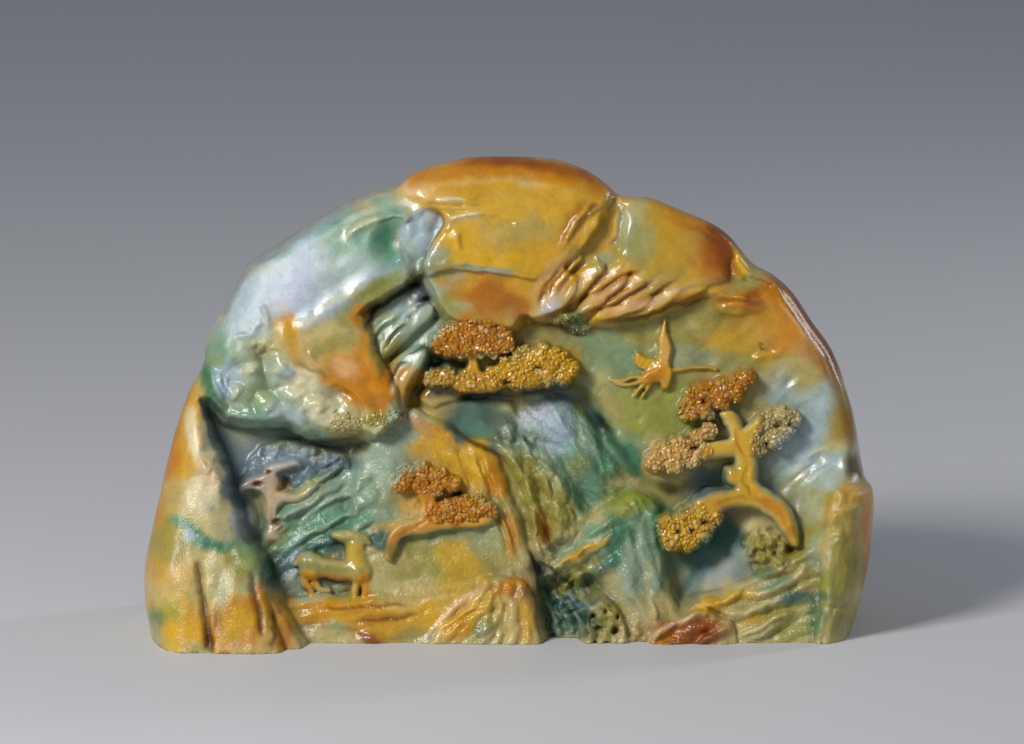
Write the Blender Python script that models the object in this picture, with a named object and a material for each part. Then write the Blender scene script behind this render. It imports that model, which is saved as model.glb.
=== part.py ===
"""Jade boulder carving: one solid block of jadeite worked as a mountain landscape.

The block stands on its own sawn base. Its front is a deep relief of crags, a cave, pines, a deer and a
crane. Its back is plainer. Lengths below are millimetres, and the mesh is made in metres.
"""

import math

import bmesh
import bpy
import numpy as np
import openvdb

# Driving dimensions of the block
WIDTH = 232.0
FACE_PROUD = 36.0  # carved face in front of the rim, at the foot
BACK_PROUD = 33.0  # back behind the rim, at the foot
BACK_TOP_PROUD = 14.0
RIM_ROUND = 13.0  # how far in from the outline the face reaches its full thickness
BACK_ROUND = 24.0
RIM_BAND = 0.8  # keeps a narrow upright band round the rim, where face and back meet
RIM_BLEND = 2.5
BUTTRESS_PROUD = 12.0
SIGHT = math.radians(10.0)  # the scene is laid out square to a line of sight this far above level

# Grid and mesh
CELL = 0.9
TRIANGLES = 9300
TALL = 150.0
MARGIN = 3.0
WALL_SLOPE = 4.0  # a cliff's fall for each millimetre outwards
BEVEL_REACH = 6.0  # how far outside its outline a block or a pocket still acts
PAD_WAVE = 0.05
MM = 0.001

SIN, COS = math.sin(SIGHT), math.cos(SIGHT)


# Curves on the drawing plane: u runs right and v up, square to the line of sight


def spline(points, closed=False, steps=5):
    """A Catmull-Rom curve through the points, as a polyline."""
    knots = np.array(points, float)
    if closed:
        ring = np.vstack([knots[-1], knots, knots[:2]])
    else:
        ring = np.vstack([2 * knots[0] - knots[1], knots, 2 * knots[-1] - knots[-2]])
    t = np.arange(steps)[:, None] / steps
    runs = []
    for a, b, c, d in zip(ring, ring[1:], ring[2:], ring[3:]):
        bend = (2 * a - 5 * b + 4 * c - d) * t**2 + (3 * b - a - 3 * c + d) * t**3
        runs.append(0.5 * (2 * b + (c - a) * t + bend))
    if not closed:
        runs.append(knots[-1:])
    return np.vstack(runs)


def along(u, v, path):
    """Distance to a polyline, the side of it (1 is left of its run) and how far along it, from 0 to 1."""
    best = np.full(u.shape, 1e9)
    side = np.ones(u.shape)
    place = np.zeros(u.shape)
    lengths = np.hypot(*(path[1:] - path[:-1]).T)
    starts = np.concatenate([[0.0], np.cumsum(lengths)])
    for i, (a, b) in enumerate(zip(path, path[1:])):
        du, dv = b - a
        span = max(lengths[i] ** 2, 1e-12)
        t = np.clip(((u - a[0]) * du + (v - a[1]) * dv) / span, 0, 1)
        off_u, off_v = u - a[0] - t * du, v - a[1] - t * dv
        gap = off_u**2 + off_v**2
        nearer = gap < best
        best[nearer] = gap[nearer]
        side[nearer] = np.sign(du * off_v - dv * off_u)[nearer]
        place[nearer] = ((starts[i] + t * lengths[i]) / starts[-1])[nearer]
    return np.sqrt(best), side, place


def inside(u, v, ring):
    """Which points lie inside a closed polyline."""
    odd = np.zeros(u.shape, bool)
    for a, b in zip(ring, np.roll(ring, -1, axis=0)):
        if a[1] == b[1]:
            continue
        crosses = (a[1] > v) != (b[1] > v)
        odd ^= crosses & (u < a[0] + (v - a[1]) * (b[0] - a[0]) / (b[1] - a[1]))
    return odd


def signed_distance(u, v, ring):
    """Distance to a closed polyline, positive inside it."""
    gap = along(u, v, np.vstack([ring, ring[:1]]))[0]
    return np.where(inside(u, v, ring), gap, -gap)


def soft_min(a, b, k):
    mix = np.clip(0.5 + 0.5 * (b - a) / k, 0, 1)
    return b + (a - b) * mix - k * mix * (1 - mix)


def soft_max(a, b, k):
    return -soft_min(-a, -b, k)


def ease(t):
    t = np.clip(t, 0, 1)
    return t * t * (3 - 2 * t)


class Relief:
    """How deep the carving lies under the block's raw skin, over the drawing plane."""

    def __init__(self, cell, low, high):
        self.low, self.cell = np.array(low, float), cell
        self.us = np.arange(low[0], high[0] + cell, cell)
        self.vs = np.arange(low[1], high[1] + cell, cell)
        self.depth = np.zeros((len(self.us), len(self.vs)))

    def window(self, path, reach):
        """The part of the grid near a path: its index, and its u and v."""
        first = np.floor((path.min(0) - reach - self.low) / self.cell).astype(int)
        last = np.ceil((path.max(0) + reach - self.low) / self.cell).astype(int) + 1
        part = tuple(slice(max(a, 0), max(b, 0)) for a, b in zip(first, last))
        return part, *np.meshgrid(self.us[part[0]], self.vs[part[1]], indexing="ij")

    def raise_to(self, part, s, top, edge, blend):
        """Leaves stone standing where s, the distance in from an edge, is positive, with a rounded edge."""
        turn = 1 - np.clip(s / edge, 0, 1)
        side = edge * (1 - np.sqrt(np.clip(1 - turn**2, 0, 1))) + WALL_SLOPE * np.maximum(-s, 0)
        self.depth[part] = soft_min(self.depth[part], top + side, blend)

    def block(self, outline, level, edge=2.0, lean=(0.0, 0.0), crown=0.0, blend=0.8):
        """Leaves a mass standing at a level under the skin, with a rounded edge and steep sides."""
        ring = spline(outline, closed=True)
        part, u, v = self.window(ring, BEVEL_REACH)
        s = signed_distance(u, v, ring)
        middle = ring.mean(0)
        top = level + lean[0] * (u - middle[0]) + lean[1] * (v - middle[1])
        top = top - crown * (1 - (1 - np.clip(s / (4 * edge), 0, 1)) ** 2)
        self.raise_to(part, s, top, edge, blend)

    def pad(self, middle, size, turn, level, blend=0.8):
        """Leaves an oval cushion standing, such as a cloud of pine needles."""
        c, s = math.cos(math.radians(turn)), math.sin(math.radians(turn))
        a = np.linspace(0, 2 * math.pi, 12, endpoint=False)
        wave = 1 + PAD_WAVE * np.sin(3 * a + middle[0])
        across, up = size[0] * np.cos(a) * wave, size[1] * np.sin(a) * wave
        outline = np.stack([middle[0] + c * across - s * up, middle[1] + s * across + c * up], 1)
        self.block(outline, level, edge=0.7 * size[1], blend=blend)

    def stem(self, balls, blend=0.8):
        """Leaves a round limb standing along a path of (u, v, level, radius)."""
        line = spline(balls)
        part, u, v = self.window(line[:, :2], line[:, 3].max() + 4.0)
        gap, _, place = along(u, v, line[:, :2])
        run = np.concatenate([[0], np.cumsum(np.hypot(*np.diff(line[:, :2], axis=0).T))])
        level = np.interp(place, run / run[-1], line[:, 2])
        radius = np.interp(place, run / run[-1], line[:, 3])
        self.raise_to(part, radius - gap, level, radius, blend)

    def pocket(self, outline, level, edge=2.0, lean=(0.0, 0.0), blend=0.8, wall=WALL_SLOPE):
        """Sinks a hollow to a level under the skin."""
        ring = spline(outline, closed=True)
        part, u, v = self.window(ring, BEVEL_REACH)
        s = signed_distance(u, v, ring)
        middle = ring.mean(0)
        floor = level + lean[0] * (u - middle[0]) + lean[1] * (v - middle[1])
        turn = 1 - np.clip(s / edge, 0, 1)
        side = edge * (1 - np.sqrt(np.clip(1 - turn**2, 0, 1))) + wall * np.maximum(edge / wall - s, 0)
        self.depth[part] = soft_max(self.depth[part], floor - side, blend)

    def fold(self, path, height, left=4.0, right=1.0, fade=0.25):
        """Raises a crest along a path, with its own fall on each side, which fades out at the ends."""
        line = spline(path)
        part, u, v = self.window(line, max(left, right))
        gap, side, place = along(u, v, line)
        rise = ease(1 - gap / np.where(side > 0, left, right))
        rise *= ease(np.minimum(place, 1 - place) / fade + 0.12)
        self.depth[part] -= height * rise

    def groove(self, path, depth, width=1.4, fade=0.15):
        self.fold(path, -depth, width, width, fade)

    def chamfer(self, start, span, rate):
        """Leans the top of the crag back above a level line."""
        part, u, v = self.window(np.array([(span[0], start), (span[1], start + 12)], float), 4.0)
        sides = ease((u - span[0]) / 6 + 0.5) * ease((span[1] - u) / 6 + 0.5)
        self.depth[part] += rate * sides * np.maximum(v - start, 0)

    def lump(self, place, size, height, turn=0.0):
        """Adds a rounded swelling, or a dimple if the height is negative."""
        reach = max(size)
        part, u, v = self.window(np.array([place], float), reach)
        c, s = math.cos(math.radians(turn)), math.sin(math.radians(turn))
        du, dv = u - place[0], v - place[1]
        r2 = ((c * du + s * dv) / size[0]) ** 2 + ((c * dv - s * du) / size[1]) ** 2
        self.depth[part] -= height * np.clip(1 - r2, 0, 1) ** 1.3

    def beads(self, middle, size, turn, pitch, height):
        """Covers an oval patch with close-set round grains, in staggered rows."""
        c, s = math.cos(math.radians(turn)), math.sin(math.radians(turn))
        rows, columns = int(size[1] / pitch) + 1, int(size[0] / pitch) + 1
        for j in range(-rows, rows + 1):
            for i in range(-columns, columns + 1):
                a = (i + 0.5 * (j % 2)) * pitch + 0.22 * pitch * math.sin(5.1 * i + 3.7 * j)
                b = j * pitch * 0.87 + 0.22 * pitch * math.sin(2.3 * i - 4.9 * j)
                if (a / size[0]) ** 2 + (b / size[1]) ** 2 > 1:
                    continue
                grain = pitch * (0.55 + 0.1 * math.sin(7.3 * i + 1.9 * j))
                place = (middle[0] + c * a - s * b, middle[1] + s * a + c * b)
                self.lump(place, (grain, grain), height)


# The block's outline on the drawing plane, from the foot on the left over the top to the foot on the right
SKYLINE = [
    (-112, -40), (-113.5, -8), (-115.7, 5), (-116, 16.6), (-114.2, 26.2), (-110.4, 43), (-106.8, 58),
     (-103.6, 68),
    (-101, 74.5), (-98, 79.5), (-95.8, 84), (-95.8, 89), (-92, 96.5), (-88, 104), (-82.7, 113.4),
    (-76.4, 117.6), (-63.6, 125.9), (-50.8, 133.2), (-40, 137.2), (-34.8, 138.2), (-31.6, 141.2),
    (-25.2, 144.1), (-18.8, 145.6), (-12.5, 147), (0.3, 147.3), (13.1, 146.6), (19.5, 145), (25.9, 142.2),
    (31.5, 138), (34.8, 135.2), (40, 134.6), (45, 134.2), (51.4, 131.6), (64.2, 126.2), (70.6, 121.4),
    (77, 113.7), (83.4, 110.2), (89.8, 104.5), (96.2, 95), (102.6, 85.9), (107.5, 73), (110.3, 62),
    (111.6, 54), (113.2, 46), (115.7, 42), (116, 33), (114.7, 20), (112.8, 10), (110.5, 1), (109, -5),
     (107, -40),
]


def carve_hollows(face):
    """The ground behind everything, sunk first: field, ravine, cave, recess and valleys."""
    stage = [(-76, -30), (-77, 10), (-84, 27), (-88, 43), (-95, 63), (-82, 62), (-64, 58.5), (-47, 57),
             (-33, 65), (-38, 74), (-44, 88), (-44, 98), (-28, 107), (-22, 103), (-18, 96), (2, 96),
             (10, 96), (24, 97), (26, 90), (27, 62), (38, 48), (58, 34), (68, 20), (68, -30)]
    face.pocket(stage, 9.0, edge=1.5, wall=5.0)
    field = [(14, 62), (15, 90), (20, 108), (40, 110), (60, 106), (72, 102.5), (80, 101), (87, 95),
             (94, 85), (100, 74), (104, 62), (104, 50), (101, 38), (98, 24), (97, -30), (60, -30), (54, 28),
             (36, 38), (20, 46)]
    face.pocket(field, 9.0, edge=6.0, blend=0.2, wall=1.2)
    cave = [(-96, 68), (-90, 63.5), (-82, 62), (-71, 61.5), (-64, 58.5), (-55, 59), (-46, 57.5), (-38, 50),
            (-36, 38), (-38, 20), (-43, 8), (-58, 5), (-70, 4), (-78, 8), (-80, 20), (-84, 28), (-88, 36),
            (-91, 48), (-95, 58)]
    face.pocket(cave, 15, edge=3.0, lean=(0.03, 0.1), wall=5.0)
    recess = [(-46, 89), (-46.8, 95), (-43.5, 99.5), (-38, 102.5), (-33, 105), (-28, 108.5), (-24.5, 107),
              (-21, 102), (-18, 96), (-14, 88), (-10, 76), (-18, 68), (-27, 62), (-33, 65), (-37, 72),
              (-42, 82)]
    face.pocket(recess, 14, edge=2.5, lean=(0.12, 0.05), wall=5.0)
    shadow = [(-30, 73), (-20, 75), (-12, 73), (0, 73), (10, 75), (19, 77), (25, 75), (28, 69), (32.5, 62),
              (34, 55), (41, 48.5), (50, 43), (49, 38), (36, 38), (28, 33), (20, 36), (10, 50), (-8, 58),
              (-22, 62)]
    face.pocket(shadow, 13.5, edge=3.0, wall=1.6)
    valley = [(43, 41), (50, 43), (58, 47), (66, 51), (71, 53), (76, 50), (76, 40), (74, 30), (70, 20),
              (64, 13), (60, 6), (54, 3), (49, 10), (46, 24)]
    face.pocket(valley, 14, edge=4.0, wall=1.4)
    gully = [(8, 13), (15, 15), (24, 15), (29, 12), (29, 4), (26, -10), (9, -10), (9, 0)]
    face.pocket(gully, 12, edge=2.0, lean=(0.0, 0.15), wall=4.0)
    hollow = [(75, 45), (80, 53), (87, 57), (93, 62), (99, 63), (103, 60), (105, 53), (104, 44), (99, 35),
              (92, 28), (84, 34), (76, 41)]
    face.pocket(hollow, 11, edge=4.0, wall=1.6)


def carve_left_crag(face):
    """The pale crag: a polished shoulder with a tongue of rock that hangs over the cave."""
    face.fold([(-84, 109), (-70, 118), (-58, 124.5), (-46, 130.5), (-37, 134.5)], 0.9, left=1.0, right=5.0)
    face.fold([(-84, 82), (-70, 92), (-60, 97), (-52, 102.5), (-44, 108), (-30, 116)], 3.0, left=22.0,
              right=9.0, fade=0.5)
    face.fold([(-90, 104), (-88, 94), (-90, 84)], 1.2, left=4, right=9)
    under = [(-92, 84), (-82, 88), (-74, 89), (-68, 82), (-60, 79), (-52, 76), (-46, 70), (-43, 62),
             (-50, 56), (-64, 57), (-80, 60), (-92, 63), (-96, 72)]
    face.pocket(under, 3.0, edge=4.0, wall=1.5)
    tongue = [(-73, 95), (-72, 87), (-67.5, 80.5), (-60, 77.5), (-55, 74), (-51.5, 69), (-46, 66.5),
              (-40, 65), (-34, 66.5), (-35, 74), (-38, 80), (-42, 88), (-46, 98), (-56, 102), (-66, 99)]
    face.block(tongue, -0.5, edge=3.0, lean=(0.0, -0.03), crown=0.8)
    face.fold([(-71, 93), (-70, 86), (-65, 80.5), (-58, 78.5)], 1.2, left=3.0, right=1.2)
    face.lump((-80, 95), (6, 7), 2.2, 20)
    face.fold([(-78, 101), (-74, 97.5), (-73, 93), (-76, 90), (-82, 89.5)], 0.9, left=1.2, right=1.2)
    face.lump((-80, 73.5), (9, 9), 2.2, 20)
    face.lump((-69, 73), (7.5, 9), 2.0, -10)
    face.lump((-59.5, 70), (9, 7), 1.6, 10)
    face.lump((-76, 65), (9, 4.5), 1.8, 0)
    face.lump((-63, 63.5), (8, 5), 2.0, 0)
    face.lump((-51, 62), (8, 4.5), 2.4, 10)
    for path in ([(-92.5, 82), (-92, 76), (-89, 70)], [(-89.5, 81), (-88, 75), (-86.5, 71)]):
        face.fold(path, 1.0, left=1.0, right=1.6)
    face.lump((-95, 87), (3, 4.5), -1.2, 60)
    face.lump((-37.5, 120.5), (6.5, 8), -3.2, -20)
    face.fold([(-52, 121), (-46, 124.5), (-40, 127.5), (-34, 128.5), (-31, 125.5)], 1.2, left=3.0, right=1.2)
    facet = [(-32, 127.5), (-28, 129.5), (-18, 131), (-12, 122), (-14, 108), (-24, 106), (-29, 110),
             (-32, 115.5), (-31.5, 121)]
    face.pocket(facet, 5.5, edge=1.5, lean=(0.1, 0.1))
    face.fold([(-31.5, 125.5), (-28, 121.5), (-25, 118.5)], 1.4, left=2.5, right=2.0)


def carve_recess(face):
    """Leaf-like folds of rock standing in the recess between the two crags."""
    first = [(-45, 90), (-44.5, 95), (-40, 99.5), (-34, 102), (-32, 99), (-36, 92), (-40, 85), (-43, 84)]
    face.block(first, 7.5, edge=1.6, lean=(-0.05, 0.05))
    face.fold([(-43, 91), (-39, 96), (-34, 100.5)], 0.8, left=2.0, right=1.2)
    face.fold([(-40.5, 88), (-37, 93), (-32, 99)], 1.0, left=2.4, right=0.8)
    third = [(-38, 84), (-36, 90), (-31, 97), (-26, 100.5), (-21, 99), (-20, 94), (-24, 88.5), (-30, 86),
             (-34, 82)]
    face.block(third, 7.0, edge=2.2, lean=(0.12, 0.05), crown=0.8)
    face.lump((-29, 103), (3, 3), 4.0)
    face.lump((-35.5, 103), (2.4, 1.8), 2.5, 20)
    flutes = [(-37.5, 73.5), (-36, 79), (-32, 84), (-26, 87), (-24.5, 84), (-28, 77), (-30.5, 69), (-33, 66)]
    face.block(flutes, 5.5, edge=1.5, lean=(0.12, 0.0))
    face.fold([(-36.5, 74), (-33.5, 80), (-29.5, 85)], 0.9, left=1.6, right=0.9)
    face.fold([(-33.5, 74), (-30.5, 80), (-27, 85)], 0.9, left=1.6, right=0.9)


def carve_top_crag(face):
    """The russet summit, one slab over another, with the etched layers that follow its edge."""
    cap = [(-34.8, 138), (-33, 134.5), (-28, 132), (-22.5, 128.8), (-20.5, 125.5), (-24, 119), (-26.2, 114),
           (-25.6, 108.5), (-22.5, 104), (-20.5, 100), (-16, 96.5), (-8, 95.5), (0, 95), (3.2, 98),
           (6, 102.5), (10, 107), (16, 112), (22, 118), (27, 125), (31, 132), (33, 139), (20, 151),
           (-20, 151), (-34, 142)]
    face.block(cap, -1.0, edge=2.6)
    face.chamfer(139.0, (-36, 30), 0.6)
    face.groove([(-27, 132.2), (-20, 131.2), (-13, 131.3)], 0.7, 1.2)
    face.fold([(-25, 132.5), (-19, 133.4), (-12, 133.5), (-8, 132.5)], 0.6, left=1.0, right=1.0)
    face.groove([(-24, 129.6), (-16, 129.4), (-9, 129.8)], 0.6, 1.2)
    face.fold([(-20, 126.8), (-14, 127.6), (-8, 128.2)], 0.7, left=1.0, right=1.0)
    face.groove([(-9, 127.4), (-3, 127), (1.5, 125)], 0.5, 0.9)
    face.fold([(-18, 123.5), (-14.5, 121), (-14, 116), (-16, 111)], 1.2, left=1.6, right=4.0)
    face.fold([(-22, 118), (-19, 113), (-20, 106)], 0.9, left=2.5, right=2.5)
    face.fold([(-20, 111.5), (-12, 110), (-4, 109.4), (5, 108)], 1.3, left=5.0, right=1.4)
    brow = [(-27, 106), (-20, 109.2), (-12, 107.6), (-4, 107.2), (4, 105.4), (12, 101), (12, 88), (-28, 88)]
    face.pocket(brow, 1.2, edge=1.5)


def carve_second_peak(face):
    """The lower peak on the right, behind the summit, with the ridges that run down between them."""
    hidden = [(33, 139), (36, 133), (46, 131), (60, 126), (70, 118), (76, 110), (84, 106), (78, 101),
              (66, 102), (50, 102), (36, 104), (22, 108), (16, 112), (22, 118), (27, 125)]
    face.pocket(hidden, 3.6, edge=3.0, wall=2.0)
    peak = [(34, 134.5), (42, 136), (52, 133), (64, 128), (71, 119), (69.5, 112), (68, 107), (60, 104.5),
            (50, 104), (42, 107), (36, 112), (35, 120), (36, 127)]
    face.block(peak, 1.6, edge=3.0, crown=1.0)
    face.fold([(32, 134.5), (27, 130.5), (22, 126), (18, 121), (15, 116.5)], 1.4, left=1.6, right=2.6)
    face.fold([(34, 132.5), (29, 127.5), (25.5, 122.5), (22.5, 117)], 1.5, left=1.6, right=2.6)
    face.groove([(28.5, 133.5), (25.5, 130), (21, 124.5)], 0.8, 1.2)
    face.fold([(35.5, 131), (35.6, 125), (34, 120)], 0.9, left=1.2, right=3.0)
    small = [(63, 102.5), (68, 104), (76, 103), (79.5, 99.5), (75, 97), (67, 97)]
    face.block(small, 3.0, edge=2.0)


def carve_strata(face):
    """Lens-shaped beds of rock under the second peak, each overlapping the one behind."""
    shelf = [(6, 103), (9, 97), (14, 94.5), (19, 96), (24, 97.5), (30, 96), (36, 95.5), (43, 97.3),
             (50, 99.3), (58, 101.5), (68, 104.5), (62, 111), (52, 113), (42, 117), (32, 120), (22, 118),
             (12, 112)]
    face.block(shelf, 2.6, edge=1.8, lean=(0.0, 0.02))
    lobe = [(5.6, 97.5), (7.5, 102), (11, 104), (16, 105.5), (21, 108), (22, 104), (18, 99), (14, 95.5),
            (9, 94.8)]
    face.block(lobe, 1.4, edge=2.4, crown=0.8)
    beds = [
        ([(8, 104), (11, 109), (14.5, 113.5), (18, 117)], 1.3),
        ([(13, 105.5), (16.5, 110.5), (20, 115.5)], 1.2),
        ([(15, 105), (19, 108.5), (24, 113.5), (29, 117.5)], 1.8),
        ([(25, 104), (30, 108.5), (35, 111), (40, 112.5)], 1.8),
        ([(21, 97.5), (26.5, 101), (33, 105.5), (40, 108.5), (47, 110)], 2.0),
        ([(29, 96.8), (36, 99), (42, 103), (49, 107), (57, 109)], 2.0),
        ([(38, 98.5), (45, 101), (53, 104), (62, 106)], 1.5),
    ]
    for path, height in beds:
        face.fold(path, height, left=3.2, right=1.3, fade=0.3)
    face.fold([(29, 117), (29, 112.5), (32, 110.5), (35, 113), (35, 117), (32, 119)], 1.0, left=1.2,
              right=1.2, fade=0.05)
    face.beads((21, 94.5), (7, 3), -12, 2.6, 1.6)
    face.lump((21, 94.5), (8.5, 4), 3.2, -12)


def carve_right_rim(face):
    """The russet edge on the right: polished lines, the hollow's slanting ribs and the buttress below."""
    face.fold([(77, 112), (83, 106.5), (88, 99.5), (93, 92), (97, 85), (101, 77)], 1.0, left=1.2, right=1.8)
    face.fold([(86, 99), (91, 93), (95, 86)], 0.8, left=1.0, right=1.4)
    face.fold([(104, 78), (107, 70), (109.5, 62), (110.5, 54)], 0.9, left=1.2, right=1.6)
    face.fold([(84, 41), (90, 45.5), (96, 50), (103, 56)], 1.6, left=3.0, right=2.2)
    face.fold([(88, 39.5), (93, 43), (99, 47)], 1.2, left=2.2, right=2.0)
    notch = [(106, 54), (112, 56), (118, 54), (118, 44), (112, 43.5), (106, 43)]
    face.pocket(notch, 3.0, edge=1.5)
    foot = [(102.5, 41.5), (108, 43.8), (114, 43.4), (119, 43), (119, -14), (98, -14), (98, 6), (98.5, 20),
            (100.5, 33)]
    face.block(foot, -1.5, edge=3.0, crown=1.0)
    face.fold([(99, 32.5), (105, 34.5), (111, 38)], 1.0, left=1.5, right=3.0)
    face.groove([(98, 24), (97.6, 14), (99, 6)], 0.9, 1.8)
    face.groove([(90, 4), (98, 5), (110, 4.8)], 0.9, 1.4)


def carve_mountains(face):
    """The middle: the gold slope, two slopes behind it, the round hill and the ravine's rocks."""
    behind = [(-20, 66), (-14, 70.5), (-6, 72), (1, 70), (2.5, 60), (-2, 55), (-10, 54), (-20, 58)]
    face.block(behind, 9.5, edge=2.5, lean=(0.0, 0.04))
    beds = [(-4, 54), (0, 57), (6, 59), (12, 56.5), (15, 50), (18, 44), (20.5, 38), (22.5, 33), (20, 25),
            (15, 18), (8, 12), (4, 20), (2, 34), (-2, 46)]
    face.block(beds, 7.5, edge=2.0, lean=(-0.05, 0.03))
    for path in ([(1, 55), (6, 52), (12, 51)], [(1, 49), (7, 47), (13, 45)], [(4, 43), (10, 42), (17, 40.5)],
                 [(6, 37), (12, 36), (19, 34)], [(7, 31), (12, 30), (18, 28)]):
        face.fold(path, 1.5, left=1.2, right=4.0)
    face.block([(5, 66), (9, 70), (16, 71), (19, 64), (17, 57), (12, 55), (7, 58)], 10.0, edge=3.0, crown=1.5)
    face.block([(17, 52), (20, 58), (24, 63), (28, 61), (30, 52), (27, 45), (22, 44), (18, 46)], 9.0,
               edge=3.0, crown=1.5)
    face.lump((21, 48), (6, 4), 2.0, 20)
    gold = [(-37, 66.5), (-33.5, 68.8), (-28, 66.5), (-20, 62.5), (-12, 57.5), (-5, 52.5), (-1, 46),
            (2.5, 36), (6, 25), (9, 14), (8, 6), (-8, 8), (-20, 8), (-34, 6), (-45, 8), (-47.5, 20),
            (-50, 34), (-49, 46), (-44, 57)]
    face.block(gold, 6.2, edge=2.0, lean=(0.0, 0.055), blend=1.2)
    face.fold([(-34, 67.5), (-27, 65), (-20, 61.5), (-12, 56.5), (-5.5, 51), (-2, 44), (2, 33), (5, 23)],
              1.6, left=1.5, right=10.0, fade=0.1)
    face.fold([(-40, 60), (-36, 50), (-37, 42)], 1.2, left=8.0, right=8.0)
    hill = [(22, 28), (27, 34.5), (32.5, 38.5), (38.5, 41.5), (43, 40.5), (46, 36), (47, 26), (48.5, 16),
            (51, 8), (56, 2), (60, -4), (58, -14), (30, -14), (29, -2), (30, 8), (27, 14), (20, 18)]
    face.block(hill, 6.0, edge=3.5, crown=2.6)
    face.fold([(18, 19), (24, 23.5), (30, 26.5), (36, 28.5)], 1.8, left=2.5, right=3.5)
    face.fold([(27, 33), (33, 30), (38, 24), (40, 12)], 1.2, left=6.0, right=8.0)
    face.fold([(45, 34), (46, 24), (48, 13)], 0.8, left=4.0, right=1.5)


def carve_cave(face):
    """Inside the cave: faceted rock, a small plum tree, and beds that climb to the right behind the deer."""
    back = [(-84, 44), (-82, 51), (-78, 56), (-70, 57.5), (-61, 56.5), (-52, 53), (-50, 46), (-60, 43),
            (-72, 41)]
    face.block(back, 12.5, edge=2.0, lean=(-0.03, 0.0))
    for path in ([(-83, 50), (-79, 55), (-76, 57)], [(-76, 50), (-72, 56)], [(-66, 50), (-62, 55)]):
        face.fold(path, 1.2, left=2.5, right=1.0)
    beds = [
        ([(-79, 24), (-72, 31), (-65, 37.5), (-57, 42.5), (-49, 48)], 2.2),
        ([(-74, 20), (-66, 26), (-58, 31), (-50, 35), (-42, 38)], 2.0),
        ([(-64, 47), (-58, 51), (-50, 55)], 1.6),
        ([(-60, 24), (-52, 28), (-45, 32), (-39, 33.5)], 1.6),
    ]
    slope = [(-80, 24), (-74, 33), (-64, 41), (-54, 46), (-46, 50), (-40, 44), (-40, 26), (-44, 14),
             (-58, 8), (-74, 8)]
    face.block(slope, 10.5, edge=2.5, lean=(0.03, 0.09))
    for path, height in beds:
        face.fold(path, height, left=5.5, right=1.3)
    face.lump((-82, 33), (3.2, 5), 3.5, 20)
    face.fold([(-78, 28), (-75.5, 36), (-74, 42), (-72, 47), (-66, 51), (-61, 53)], 3.2, left=2.2,
              right=2.2, fade=0.1)
    face.fold([(-85, 44.5), (-80, 47), (-74, 48)], 2.4, left=1.8, right=1.8)
    face.fold([(-75, 39.5), (-69, 40), (-62, 41.5)], 2.4, left=2.0, right=2.0)
    for place, size in (((-70.5, 44.5), (2.2, 2.6)), ((-79, 43.6), (2.2, 1.2)), ((-73.5, 33.6), (2.4, 1.6))):
        face.lump(place, size, -4.0)


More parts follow.
